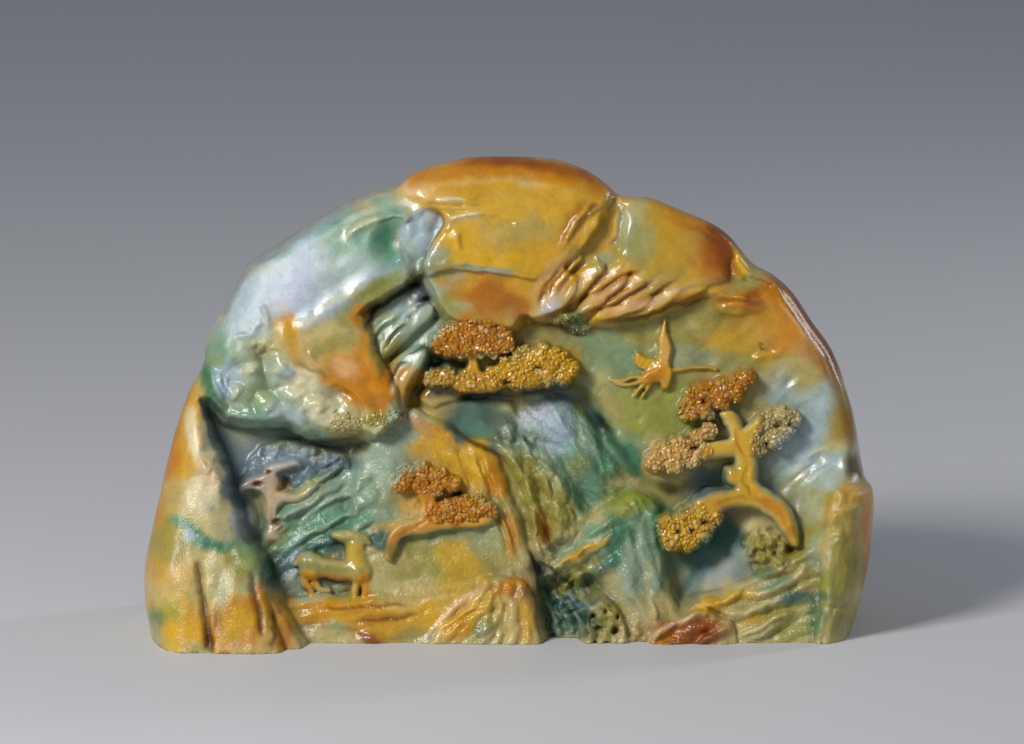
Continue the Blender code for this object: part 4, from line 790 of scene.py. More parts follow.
def colour_top_crag():
    face.dabs([
        ("honey", -4, 136, 32, 4, 0, 0.9), ("sand", 0, 125, 20, 9, 0, 0.35), ("olive", 8, 123, 14, 8, 0,
         0.35), ("gold", 0, 130, 20, 4, 0, 0.7),
        ("rose", -32, 137, 3, 2.4, 0, 0.6), ("mist", 8, 125, 5, 5, 0, 0.1), ("gold", -13, 116, 8, 8, 0, 0.8),
        ("olive", -22, 115, 4, 8, 0, 0.7), ("gold", 4, 114, 11, 5, 0, 0.8), ("honey", 14, 115, 7, 7, 50, 0.8),
        ("orange", -9, 103, 15, 8, -4, 0.9), ("russet", -6, 101, 12, 5, -6, 0.6), ("honey", -14, 106, 4, 4,
         0, 0.5),
        ("olive", -20, 99, 4, 5, 0, 0.8), ("olive", -13, 95.6, 6, 2, 0, 0.6), ("honey", 20, 127, 3, 8, -34,
         0.6),
        ("gold", -16, 121, 8, 2, 0, 0.6), ("peach", -24, 134, 8, 1.6, 0, 0.5),
    ])
    notch = [(-33, 127), (-28.6, 130.4), (-23.6, 128), (-21.6, 125.4), (-25, 119.4), (-27.2, 114),
             (-32, 113), (-34, 120)]
    face.fill(notch, "ice", 0.8, soft=1.2)
    face.dabs([("slate", -25, 125.6, 2.6, 2.6, 30, 0.3), ("mist", -30, 117, 3, 4, 0, 0.7)])
    for line in (
        # Painted shade in spruce along the edge of the cap.
        ([(-29, 131.4), (-23.4, 128.4), (-21, 125.5), (-24.6, 119), (-26.8, 114), (-26, 108.5)], 0.7,
         "spruce", 0.5),
        ([(-34, 138.6), (-24, 141.6), (-8, 143.4), (8, 143), (22, 140), (31, 135)], 4.0, "orange", 0.9, 0.05),
        ([(-20, 144.6), (-6, 146), (10, 145), (24, 141), (31, 136)], 2.6, "russet", 0.9, 0.2),
        ([(-8, 146), (4, 146), (16, 144.4)], 1.6, "rust", 0.6, 0.3),
        ([(-30, 137.4), (-14, 139), (4, 139.4), (18, 137)], 1.0, "peach", 0.6, 0.2),
        # The mist line on the brow and the cream lines on the etched crests are painted highlights.
        ([(-17, 112.6), (-10, 111.6), (-3, 111), (3, 110)], 1.3, "mist", 0.8),
        ([(-24, 132.6), (-19, 133.5), (-13, 133.4)], 0.8, "cream", 0.7),
        ([(-19.5, 127.0), (-14, 127.7), (-8, 128.3)], 0.8, "cream", 0.7),
        ([(-17.4, 122), (-15.4, 120.8)], 0.8, "cream", 0.6),
    ):
        face.streak(*line)
    for path in ([(24, 134), (20, 127), (16, 121), (14, 117)], [(27, 134), (24, 128), (19, 121)],
                 [(5, 102), (3.6, 98), (0, 95)]):
        face.streak(path, 1.1, "russet", 0.6)


carve_top_crag()
colour_top_crag()
print("summit carved")

# %% [markdown]
# ## The second peak and its beds of rock
#
# Right of the summit a lower, smoother peak goes from grey-green to russet. Under it the rock lies in
# lens-shaped beds, each overlapping the one behind. A bed has a long soft fall on its upper side, where
# the light catches it, and a short steep one below.

# %% Carve the second peak and the beds
BEDS = [
    ([(40, 98.4), (47, 101), (54, 103.8), (62, 106)], 3.2, 2.3),
    ([(33, 97), (40, 99), (47, 101.6), (54, 105.4)], 3.0, 1.9),
    ([(34, 101), (40, 103.6), (46, 107), (52, 110.4)], 2.8, 2.1),
    ([(28, 96.4), (34, 98), (40, 100.4), (45, 103)], 2.4, 1.5),
    ([(27, 100), (33, 102.6), (39, 107), (46, 111.6)], 2.8, 1.7),
    ([(22, 98.4), (27, 101), (32, 105), (37, 109.6)], 2.6, 1.4),
    ([(25, 104), (29, 107.4), (34, 110.6), (40, 113)], 2.4, 1.9),
    ([(19, 101), (22, 105.6), (26, 110), (30, 113)], 2.6, 1.6),
    ([(13, 104), (16, 109), (19.4, 113), (23, 116)], 2.4, 1.9),
    ([(10.4, 103), (13, 108), (16, 112.6), (19, 116.4)], 2.0, 1.6),
    ([(6.4, 99), (9.4, 104.6), (12.6, 110), (15.6, 115)], 2.0, 1.3),
    ([(6.4, 97), (11, 99.6), (16, 102.6), (21.4, 108)], 3.6, 0.7),
]


def carve_second_peak():
    hidden = [(33, 139), (36, 133), (46, 131), (60, 126), (70, 118), (76, 110), (84, 106), (78, 101),
              (66, 102), (50, 102), (36, 104), (22, 108), (16, 112), (22, 118), (27, 125)]
    face.pocket(hidden, 3.6, edge=3.0, wall=2.0)
    peak = [(34, 134.5), (42, 136), (52, 133), (64, 128), (71, 119), (69.5, 112), (68, 107), (60, 104.5),
            (50, 104), (42, 107), (36, 112), (35, 120), (36, 127)]
    face.block(peak, 1.6, edge=3.0, crown=1.0)
    face.chip(peak, -60, 7.0, 0.7, stretch=1.8, edge=4.0, seed=57)
    face.fold([(32, 134.5), (27, 130.5), (22, 126), (18, 121), (15, 116.5)], 1.4, left=1.6, right=2.6)
    face.fold([(34, 132.5), (29, 127.5), (25.5, 122.5), (22.5, 117)], 1.5, left=1.6, right=2.6)
    face.groove([(28.5, 133.5), (25.5, 130), (21, 124.5)], 0.8, 1.2, colour="brown")
    face.groove([(35.6, 134), (35.4, 128), (34.4, 122), (32, 119)], 0.7, 1.0, colour="brown", strength=0.5)
    face.fold([(35.5, 131), (35.6, 125), (34, 120)], 0.9, left=1.2, right=3.0)
    small = [(63, 102.5), (68, 104), (76, 103), (79.5, 99.5), (75, 97), (67, 97)]
    face.block(small, 5.4, edge=2.0, wall=1.2)
    for path in ([(63, 101), (69, 102.6), (77, 101.4)], [(66, 99), (73, 99.6), (79, 98)]):
        face.fold(path, 0.9, left=1.2, right=2.0)
    strip = [(70, 120), (73.4, 117), (75, 111), (73.6, 107.6), (70.6, 109), (69.6, 114)]
    face.block(strip, 2.4, edge=1.4)


def carve_beds():
    shelf = [(6, 103), (9, 97), (14, 94.5), (19, 96), (24, 97.5), (30, 96), (36, 95.5), (43, 97.3),
             (50, 99.3), (58, 101.5), (68, 104.5), (62, 111), (52, 113), (42, 117), (32, 120), (22, 118),
             (12, 112)]
    face.block(shelf, 5.0, edge=1.8, lean=(0.0, 0.02))
    for path, width, level in BEDS:
        face.lens(path, 1.1 * width, level, lift=0.4)
        face.groove([(u + 0.7 * width, v - 0.7 * width) for u, v in path], 0.8, 1.0, fade=0.3)
    for path in ([(28, 117), (28.4, 112.6), (31, 110)], [(35.6, 118), (35.6, 113.6), (33, 110.6)]):
        face.fold(path, 0.9, left=1.2, right=1.2, fade=0.3)
    face.lump((21, 94.5), (8.5, 4), 3.2, -12)


def colour_peak_and_beds():
    face.dabs([
        ("mist", 40, 124, 5, 9, 0, 0.7), ("olive", 44, 118, 9, 10, 0, 0.7), ("honey", 52, 120, 8, 12, 0, 0.7),
        ("orange", 58, 126, 12, 4, -28, 0.8), ("russet", 66, 118, 6, 11, 0, 1.0), ("rust", 66, 121, 4, 7,
         -10, 0.6),
        ("orange", 60, 112, 6, 6, 0, 0.7), ("gold", 55, 108, 9, 4, 10, 0.6), ("gold", 72, 113, 2.4, 5, 0,
         0.9),
        ("honey", 36, 104, 18, 6, 24, 0.7), ("peach", 40, 103, 14, 4, 24, 0.4), ("russet", 30, 103, 8, 3,
         30, 0.3), ("sand", 12, 101, 6, 4, 30, 0.9), ("lavender", 13, 100, 4, 2.4, 30, 0.7),
        ("honey", 22, 108, 6, 4, 40, 0.7), ("olive", 46, 108, 9, 4, 24, 0.6), ("honey", 60, 104, 9, 3, 10,
         0.8),
        ("orange", 70, 101, 7, 2.6, 0, 0.9), ("russet", 77, 101, 4, 3.6, 0, 0.9), ("honey", 84, 98, 4, 5,
         0, 0.5),
        ("moss", 20, 95, 7, 3, -10, 0.6), ("gold", 30, 96, 5, 2, 0, 0.5), ("mist", 32, 115, 2, 2.4, 0, 0.5),
    ])
    # Painted light: a rose highlight on the upper side of each bed and russet shade on its lower side.
    for path, width, _ in BEDS:
        face.streak([(u - 0.3 * width, v + 0.3 * width) for u, v in path], 0.4 * width, "rose", 0.5, fade=0.4)
        face.streak([(u + 0.6 * width, v - 0.6 * width) for u, v in path], 1.0, "russet", 0.7, fade=0.3)
    # Painted shade in brown under the lower edge of the shelf.
    face.streak([(4, 97), (9, 94.6), (16, 94), (24, 91.6), (30, 95)], 0.8, "brown", 0.7)
    face.streak([(29, 96), (38, 95.8), (48, 98.6), (58, 101), (68, 103.4)], 0.9, "brown", 0.8)
    face.scatter(face.grains, [(14.5, 96.5), (20, 97.5), (26, 95.6), (27, 92.4), (22, 91.6), (15.4, 94)])


carve_second_peak()
carve_beds()
colour_peak_and_beds()
print(len(BEDS), "beds of rock")

# %% [markdown]
# ## The right edge
#
# Down the right the skin of the boulder stays on as a russet band with two long polished lines, which
# get painted highlights. Inside it lies a pale blue-grey hollow with slanting ribs, which get painted
# highlights too, and below that a buttress with an orange edge.

# %% Carve the right edge


def carve_right_edge():
    for crest in (
        ([(77, 112), (83, 106.5), (88, 99.5), (93, 92), (97, 85), (101, 77)], 1.0, 1.2, 1.8),
        ([(86, 99), (91, 93), (95, 86)], 0.8, 1.0, 1.4),
        ([(104, 78), (107, 70), (109.5, 62), (110.5, 54)], 0.9, 1.2, 1.6),
    ):
        face.fold(*crest)
    for k, path in enumerate(([(85, 43), (91, 47.5), (98, 53.6)], [(88, 42), (94, 46.6), (100, 51)],
                              [(90, 49), (95, 53), (100, 56.6)], [(91, 41.5), (96, 45), (101, 48)])):
        face.fold(path, 0.8 - 0.1 * k, left=2.4, right=1.2, fade=0.4)
    face.fold([(76, 83), (80, 85.4), (86, 86.4)], 0.8, left=1.4, right=2.4)
    notch = [(106, 54), (112, 56), (118, 54), (118, 44), (112, 43.5), (106, 43)]
    face.pocket(notch, 3.0, edge=1.5)
    foot = [(102.5, 41.5), (108, 43.8), (114, 43.4), (119, 43), (119, -14), (98, -14), (98, 6), (98.5, 20),
            (100.5, 33)]
    face.block(foot, -1.5, edge=3.0, crown=1.0, blend=2.5, wall=1.0)
    face.chip(foot, 84, 3.6, 0.8, stretch=2.6, edge=3.0, seed=59)
    face.chisel(foot, 84, 2.2, 0.6, stretch=4.0, edge=3.0, seed=75)
    face.scatter(face.matte, foot, 0.4, 2.0)
    hollow_side = [(14, 92), (26, 104), (50, 100), (76, 98), (98, 76), (102, 50), (92, 30), (70, 36),
                   (40, 46), (24, 66)]
    face.chip(hollow_side, -40, 7.0, 0.9, stretch=1.8, edge=5.0, seed=60)
    face.chisel(hollow_side, 40, 3.4, 0.35, stretch=2.4, seed=61)
    face.fold([(99, 32.5), (105, 34.5), (111, 38)], 1.0, left=1.5, right=3.0)
    for k in range(3):
        face.fold([(98 + k, 27 - 1.6 * k), (102 + k, 29.4 - 1.6 * k), (105 + k, 29 - 1.6 * k)], 0.5, 0.7, 0.7)
    face.groove([(98, 24), (97.6, 14), (99, 6)], 0.9, 1.8)
    face.groove([(90, 4), (98, 5), (110, 4.8)], 0.9, 1.4)
    face.lump((79.6, 87.6), (0.9, 0.9), -0.8)


def colour_right_edge():
    face.dabs([
        ("russet", 94, 92, 6, 13, 37, 0.85), ("orange", 88, 94, 3.4, 12, 37, 0.7), ("russet", 100, 80, 4,
         9, 28, 0.7),
        ("orange", 105, 70, 3, 8, 20, 0.6), ("rust", 104, 82, 3, 16, 24, 0.7), ("honey", 82, 85, 6, 2.6,
         10, 0.8), ("orange", 85, 88, 4, 3, 0, 0.7),
        ("brown", 109, 50, 4, 5, 0, 0.8), ("olive", 104, 66, 4, 7, 20, 0.6), ("orange", 113.5, 26, 2.6, 20,
         3, 0.9),
        ("honey", 108, 40, 6, 4, 0, 0.8), ("mist", 98, 22, 3, 6, 0, 0.6), ("peach", 106, 26, 5, 6, 0, 0.4),
        ("olive", 106, 18, 4, 10, 0, 0.7), ("olive", 106, 0, 7, 4, 0, 0.7), ("sand", 101, 24, 2.4, 8, 0,
         0.5), ("honey", 102, 35, 4, 4, 0, 0.6), ("ice", 94, 50, 7, 4, 40, 0.6),
        ("russet", 113, 12, 2, 8, 0, 0.5), ("leaf", 100, 10, 5, 5, 0, 0.4),
    ])
    # A painted highlight in cream along each rib.
    for path in ([(85, 43.6), (91, 48), (98, 54)], [(88, 42.6), (94, 47.2), (100, 51.6)],
                 [(90, 49.6), (95, 53.6), (100, 57)], [(91, 42), (96, 45.5), (101, 48.5)]):
        face.streak(path, 0.8, "cream", 0.6, fade=0.4)
    # Painted highlights in rose and cream along the two rim lines.
    face.streak([(85, 101), (92, 92.4), (98, 84), (103, 75)], 0.6, "rose", 0.7)
    face.streak([(104.6, 78), (107.8, 70), (110, 62), (110.8, 55)], 0.9, "cream", 0.8)
    for path in ([(66, 95), (62, 90), (66, 86), (72, 84)], [(58, 93), (60.4, 90), (59, 87)]):
        face.streak(path, 0.6, "mist", 0.3)
    face.dab("brown", 79.6, 87.6, 0.8, 0.8, 0, 0.9)


carve_right_edge()
face.tooled *= 0.2
colour_right_edge()
print("right edge carved")

# %% [markdown]
# ## The mountains in the middle
#
# A gold slope comes down to the right with an orange crest. Behind it stand a dark green slope and a
# pale, cloudy rock, and in front of them two olive ribs and a round hill. The ribs have ragged edges left
# by the tool, which ridged noise drawn out along one direction copies well.

# %% Carve the mountains


def carve_mountains():
    behind = [(-28, 69.5), (-14, 71.5), (-4, 72), (2, 69), (3, 61), (-1, 54), (-8, 52), (-20, 58)]
    face.block(behind, 10.5, edge=4.0, lean=(0.06, -0.05), blend=2.0, wall=1.0)
    for swelling in (
        ((11, 62), (9, 12), 2.6, -62), ((20, 60), (8, 15), 3.4, 30), ((27, 48), (8, 14), 3.0, 34),
        ((17, 46), (6, 12), 2.4, 24),
    ):
        face.lump(*swelling)
    face.fold([(15, 70), (17, 62), (21, 54), (27, 46), (31, 40)], 1.2, left=3.0, right=5.0)
    face.fold([(23, 68), (26, 60), (31, 52), (37, 46)], 1.4, left=2.0, right=4.0)
    ravine = [(-2, 72), (12, 74), (24, 70), (33, 56), (44, 45), (38, 36), (28, 30), (20, 24), (8, 14),
              (4, 30), (0, 50)]
    face.chisel(ravine, -58, 3.6, 0.9, stretch=3.0, seed=14)
    face.chisel(ravine, -50, 1.8, 0.45, stretch=3.0, seed=34)
    ribs = [[(-3, 58), (2, 50), (6, 40), (9, 28), (12, 20)], [(3, 60), (8.6, 52), (12, 43), (15, 34),
                                                              (18, 27)], [(9, 57), (13, 50), (17, 42),
                                                                          (21, 35)]]
    for k, path in enumerate(ribs):
        face.fold(path, 3.0 - 0.5 * k, left=3.6, right=2.4, fade=0.2)
    rib_field = [(-5, 60), (6, 62), (16, 56), (24, 36), (20, 22), (10, 14), (4, 24), (0, 44)]
    face.chip(rib_field, -64, 2.2, 1.3, stretch=2.4, edge=4.0, seed=4)
    face.chisel(rib_field, -66, 1.6, 0.5, stretch=3.0, edge=2.0, seed=44)
    gold = [(-39, 65), (-34, 69), (-28, 67), (-20, 62.5), (-12, 58), (-5, 54), (-1.6, 48), (1.6, 38),
            (4.4, 28), (8, 19), (9, 12), (8, 6), (-8, 8), (-20, 8), (-34, 6), (-45, 8), (-47.5, 20),
            (-50, 34), (-49, 46), (-44, 57)]
    face.block(gold, 6.4, edge=2.4, lean=(0.0, 0.055), blend=1.6, wall=1.4)
    face.fold([(-34, 68), (-27, 65.4), (-19, 61.6), (-11, 57), (-4.6, 52), (-1.6, 45), (1.6, 35), (5, 24)],
              1.4, left=1.6, right=12.0, fade=0.1)
    face.fold([(-44, 62), (-38, 54), (-38, 44), (-40, 34)], 1.4, left=7.0, right=10.0)
    for path in ([(-10, 54), (-5, 42), (-3, 30), (0, 20)], [(-7, 49), (-4, 38), (-1.6, 28)],
                 [(-16, 56), (-13, 48), (-11, 42)], [(-4, 44), (-1, 34), (2, 24)]):
        face.groove(path, 0.9, 1.4)
    face.chisel([(-14, 56), (-4, 52), (3, 30), (7, 12), (0, 12), (-8, 30)], -66, 2.4, 0.8, seed=15)
    face.chisel(gold, -40, 4.0, 0.5, stretch=2.0, seed=16)
    hill = [(22, 28), (27, 34.5), (32.5, 38.5), (38.5, 41.5), (43, 40.5), (47, 36), (48, 26), (49.5, 16),
            (52, 8), (57, 2), (60, -4), (58, -14), (30, -14), (29, -2), (30, 8), (27, 14), (20, 18)]
    face.block(hill, 6.6, edge=4.0, crown=1.6, blend=1.6, wall=1.6)
    for path, height, left, right in (
        ([(8, 12), (14, 17), (22, 22.6), (29, 27), (36, 30)], 1.8, 2.0, 4.0),
        ([(12, 17), (20, 23), (28, 30), (36, 35), (42, 37)], 1.2, 1.4, 3.0),
        ([(11, 8), (20, 14), (30, 18), (36, 24)], 1.6, 1.6, 4.0), ([(26, 32), (32, 31), (37, 26), (39,
         16)], 1.0, 4, 6),
        ([(44, 37), (46, 26), (48, 14)], 1.2, 4.0, 1.6), ([(35, 20), (38, 12), (44, 4), (50, -2)], 1.6,
         4.0, 3.0),
        ([(40, 28), (43, 18), (48, 8)], 1.0, 3.0, 2.0),
    ):
        face.fold(path, height, left=left, right=right)
    face.chip([(10, 12), (20, 26), (32, 38), (40, 41), (44, 34), (38, 28), (30, 20), (20, 10)], 36, 2.2, 0.9,
              stretch=3.0, seed=5)
    face.chisel(hill, -64, 3.4, 0.7, stretch=2.6, seed=25)
    face.chip([(8, 17), (16, 20), (28, 15), (31, 4), (26, -12), (9, -12)], -54, 2.4, 1.8, stretch=2.4, seed=6)
    face.chisel([(8, 15), (16, 18), (26, 15), (30, 4), (26, -12), (9, -12)], 40, 2.0, 1.0, stretch=2.4,
                seed=26)


def colour_mountains():
    for patch in ([(-44, 58), (-30, 68), (-8, 56), (6, 20), (-8, 10), (-44, 12)],
                  [(-2, 70), (24, 70), (44, 44), (30, 32), (16, 22), (4, 40)]):
        face.scatter(face.matte, patch, 0.3, 5.0)
    face.dabs([
        ("mist", -33, 64, 5, 5, 0, 0.9), ("orange", -24, 61, 10, 2.6, -26, 0.7), ("gold", -20, 54, 9, 7,
         -20, 0.6),
        ("orange", -4, 46, 3, 9, 24, 0.8), ("olive", 0, 30, 4, 12, 10, 0.5), ("orange", 1, 27, 3, 7, 16, 0.7),
        ("olive", 4, 52, 5, 6, 0, 0.6), ("sand", 14, 46, 2.6, 8, 24, 0.5), ("orange", 11, 31, 2.4, 5, 30,
         0.7),
        ("russet", 12.5, 29, 1.2, 3, 30, 0.6), ("olive", 16, 38, 3, 6, 24, 0.7), ("emerald", 12, 50, 3, 3,
         0, 0.4),
        ("spruce", -3, 66, 6, 5, 0, 0.7), ("sea", -10, 61, 5, 3, -20, 0.6), ("lavender", 10, 66, 5, 4, 0,
         0.7),
        ("ice", 18.5, 62, 3.6, 6, 8, 0.9), ("mist", 25, 58, 3, 6, 20, 0.7), ("olive", 22, 50, 5, 3, 30, 0.5),
        ("leaf", 36, 37, 9, 5, 10, 0.9), ("olive", 34, 35, 5, 3, 20, 0.5), ("emerald", 33, 24, 4, 8, 10, 0.7),
        ("mist", 41, 14, 5, 12, 6, 1.0), ("sand", 46, 4, 5, 6, 30, 0.6), ("emerald", 46, 29, 2.6, 7, -6, 0.9),
        ("leaf", 52, 37, 6, 3, -30, 0.4), ("gold", 24, 23, 8, 1.8, 32, 0.8), ("olive", 22, 16, 8, 3, 30, 0.8),
        ("slate", 21, 8, 5, 4, 0, 0.5), ("olive", 25, 10, 4, 2.4, -20, 0.6), ("sea", 18, 0, 3, 6, 20, 0.4),
        # The ink dabs at (10, 17), (17, 26) and (50, 43) are painted shade in the crevices.
        ("ink", 10, 17, 3, 3, 0, 0.6), ("ink", 17, 26, 3, 2, 30, 0.6), ("emerald", 13, 2, 3, 8, 0, 0.4),
        ("olive", -34, 24, 4, 4, 0, 0.5), ("gold", -16, 20, 8, 5, -20, 0.7), ("mist", -8, 26, 7, 4, 0, 0.4),
        ("sea", -20, 27, 9, 3, 10, 0.4), ("emerald", 40, 51, 6, 3, -40, 0.8), ("ink", 50, 43, 4, 2, -30, 0.7),
    ])
    # The ink and spruce lines are painted shade, under the row of pine clouds and in the crevices.
    for path, width, colour in [
        ([(-34, 72), (-26, 73.4), (-14, 72), (0, 73), (12, 74), (20, 74)], 2.2, "ink"),
        ([(20, 74), (26, 67), (31, 60), (37, 52), (43, 47)], 1.6, "spruce"),
        ([(27, 66), (29.6, 63), (32, 60)], 1.2, "ink"), ([(-20, 63), (-11, 57.5), (-4, 53.5), (0, 49)],
         0.9, "brown"),
        ([(1.4, 66), (2.4, 60), (6, 57), (10, 53)], 1.0, "spruce"), ([(6, 24), (9, 17), (9, 8)], 1.0, "ink"),
        ([(12, 20), (16, 15), (20, 12)], 1.0, "ink"), ([(14, 10), (19, 5), (23, -4)], 0.6, "mist"),
        ([(11, 8), (14, 2), (15, -5)], 0.6, "mist"), ([(18, 10), (24, 6), (28, 1)], 0.5, "mist"),
        ([(12, 4), (18, 3), (25, 5)], 0.4, "mist"), ([(11, -2), (17, -3), (23, -2)], 0.4, "mist"),
    ]:
        face.streak(path, width, colour, 0.8)


carve_mountains()
colour_mountains()
print("mountains carved")

# %% [markdown]
# ## The cave
#
# On the left the stone turns slate-blue, and the carver opened a cave there. Inside it are faceted rock, a
# small bare tree with dark gaps between its boughs, and beds that climb to the right behind the deer.

# %% Carve the cave


def carve_cave():
    back = [(-84, 44), (-82, 51), (-78, 56), (-70, 57.5), (-61, 56.5), (-52, 53), (-50, 46), (-60, 43),
            (-72, 41)]
    face.block(back, 11.5, edge=2.0, lean=(-0.03, 0.0), wall=1.2)
    slope = [(-80, 24), (-74, 33), (-64, 41), (-54, 46), (-46, 50), (-40, 44), (-40, 26), (-44, 14),
             (-58, 8), (-74, 8)]
    face.block(slope, 9.4, edge=2.5, lean=(0.03, 0.07), wall=1.0, blend=2.5)
    face.chip(back + [(-80, 40)], 52, 2.2, 1.5, stretch=2.2, edge=2.0, seed=17)
    for path in ([(-83, 50), (-80, 54), (-77, 56.6)], [(-81, 49), (-78, 53)], [(-76, 50), (-72, 56)],
                 [(-63, 51), (-61, 55)], [(-60, 48.6), (-56, 51.6), (-52, 53)]):
        face.fold(path, 1.0, left=1.4, right=0.7)
    beds = [
        ([(-79, 24), (-72, 31), (-65, 36), (-57, 41), (-50, 45)], 2.0),
        ([(-74, 20), (-66, 26), (-58, 30), (-50, 35), (-43, 39)], 1.8),
        ([(-76, 25.5), (-71, 29), (-67, 32.5)], 1.0),
        ([(-66, 33), (-58, 37.5), (-50, 40), (-44, 43)], 1.2),
        ([(-66, 42), (-60, 44.6), (-54, 48.6), (-49, 50)], 1.6),
        ([(-60, 24), (-52, 28), (-45, 32), (-39, 33.5)], 1.4),
        ([(-66, 20), (-60, 24.5), (-54, 27)], 1.2),
        ([(-70, 12), (-66, 16), (-60, 20)], 1.0),
    ]
    for path, height in beds:
        face.fold(path, height, left=3.2, right=1.4, fade=0.4)
        # A painted highlight in mist along each bed.
        face.streak(path, 1.2, "mist", 0.45, fade=0.4)
    face.chisel(slope, 36, 2.4, 0.5, stretch=4.0, seed=7)
    face.chip(slope, 38, 2.6, 0.8, stretch=3.4, seed=27)
    face.lump((-82, 33), (3.2, 5), 3.5, 20)
    face.lump((-83, 37), (2.0, 2.4), 1.5, 20)
    tree = [
        (-77.4, 26), (-76, 31), (-76.6, 36), (-77.6, 40), (-81, 41.8), (-85, 41.4), (-86, 43), (-82.6, 45.6),
        (-78.6, 46.8), (-76.6, 49.4), (-72.6, 50.6), (-67.6, 51), (-66.4, 49.6), (-70, 48.2), (-73, 46.4),
        (-72.8, 43), (-72.6, 40.8), (-67.6, 40.4), (-62.4, 43), (-60.6, 42), (-64.4, 38.4), (-70, 36.4),
        (-72.4, 34.4), (-71.6, 29), (-72, 25.6),
    ]
    face.block(tree, 7.6, edge=1.8, blend=0.8, wall=1.6)
    face.fill(tree, "grey", 0.6, soft=2.4)
    face.fill(tree, "rose", 0.45, soft=2.4)
    face.groove([(-75.4, 27), (-74.2, 33), (-75.4, 39), (-77, 44)], 0.5, 0.8)
    # The gaps between the boughs are shallow dimples painted brown, as painted shade.
    for place, size in (((-70.5, 44.2), (2.0, 2.2)), ((-79.4, 43.8), (2.0, 1.0)), ((-72.8, 31.8), (2.2, 1.3)),
                        ((-76, 47.4), (1.4, 0.8))):
        face.lump(place, size, -2.6)
        face.dab("brown", *place, *size, 0, 0.6)


def colour_cave():
    face.dabs([
        # The ink dabs at (-58, 57) and (-52, 51) are painted shadow under the cave's roof.
        ("ink", -58, 57, 13, 2.2, -6, 0.8), ("lavender", -83, 33, 3, 4.6, 14, 1.0), ("ice", -70, 53, 8, 3,
         20, 0.5),
        ("ink", -52, 51, 5, 3, 30, 0.4), ("peach", -73, 42, 3, 3, 0, 0.5), ("sand", -64, 41, 6, 2.4, 36, 0.6),
        ("leaf", -72, 26, 6, 2.4, 40, 0.4), ("teal", -58, 24, 9, 3, 24, 0.8), ("spruce", -73, 17, 4, 7, 0,
         0.8),
        ("teal", -38, 27, 6, 4, 0, 0.9), ("mist", -70, 12, 5, 2.4, 0, 0.6), ("mist", -40, 35, 5, 2.4, 20,
         0.4),
        ("sea", -56, 36, 8, 2.4, 30, 0.5), ("spruce", -52, 24, 4, 2.4, 20, 0.5), ("mist", -89, 52, 4, 9,
         14, 0.5), ("slate", -86, 44, 4, 6, 0, 0.5),
        ("slate", -70, 17, 3, 4, 0, 0.5), ("mist", -60, 38, 12, 4, 34, 0.6), ("mist", -48, 43, 6, 4, 20, 0.6),
        ("ice", -66, 20, 3, 5, 0, 0.4), ("mist", -84, 62, 7, 3, 0, 0.5),
    ])


carve_cave()
colour_cave()
print("cave carved")

# %% [markdown]
# ## The ground in front
#
# Along the foot run the deer's ledge, slanting slabs, a little pierced rock like a scholar's stone, and
# russet and olive beds on the right. They stand nearly as proud as the block's raw skin.

# %% Carve the ground


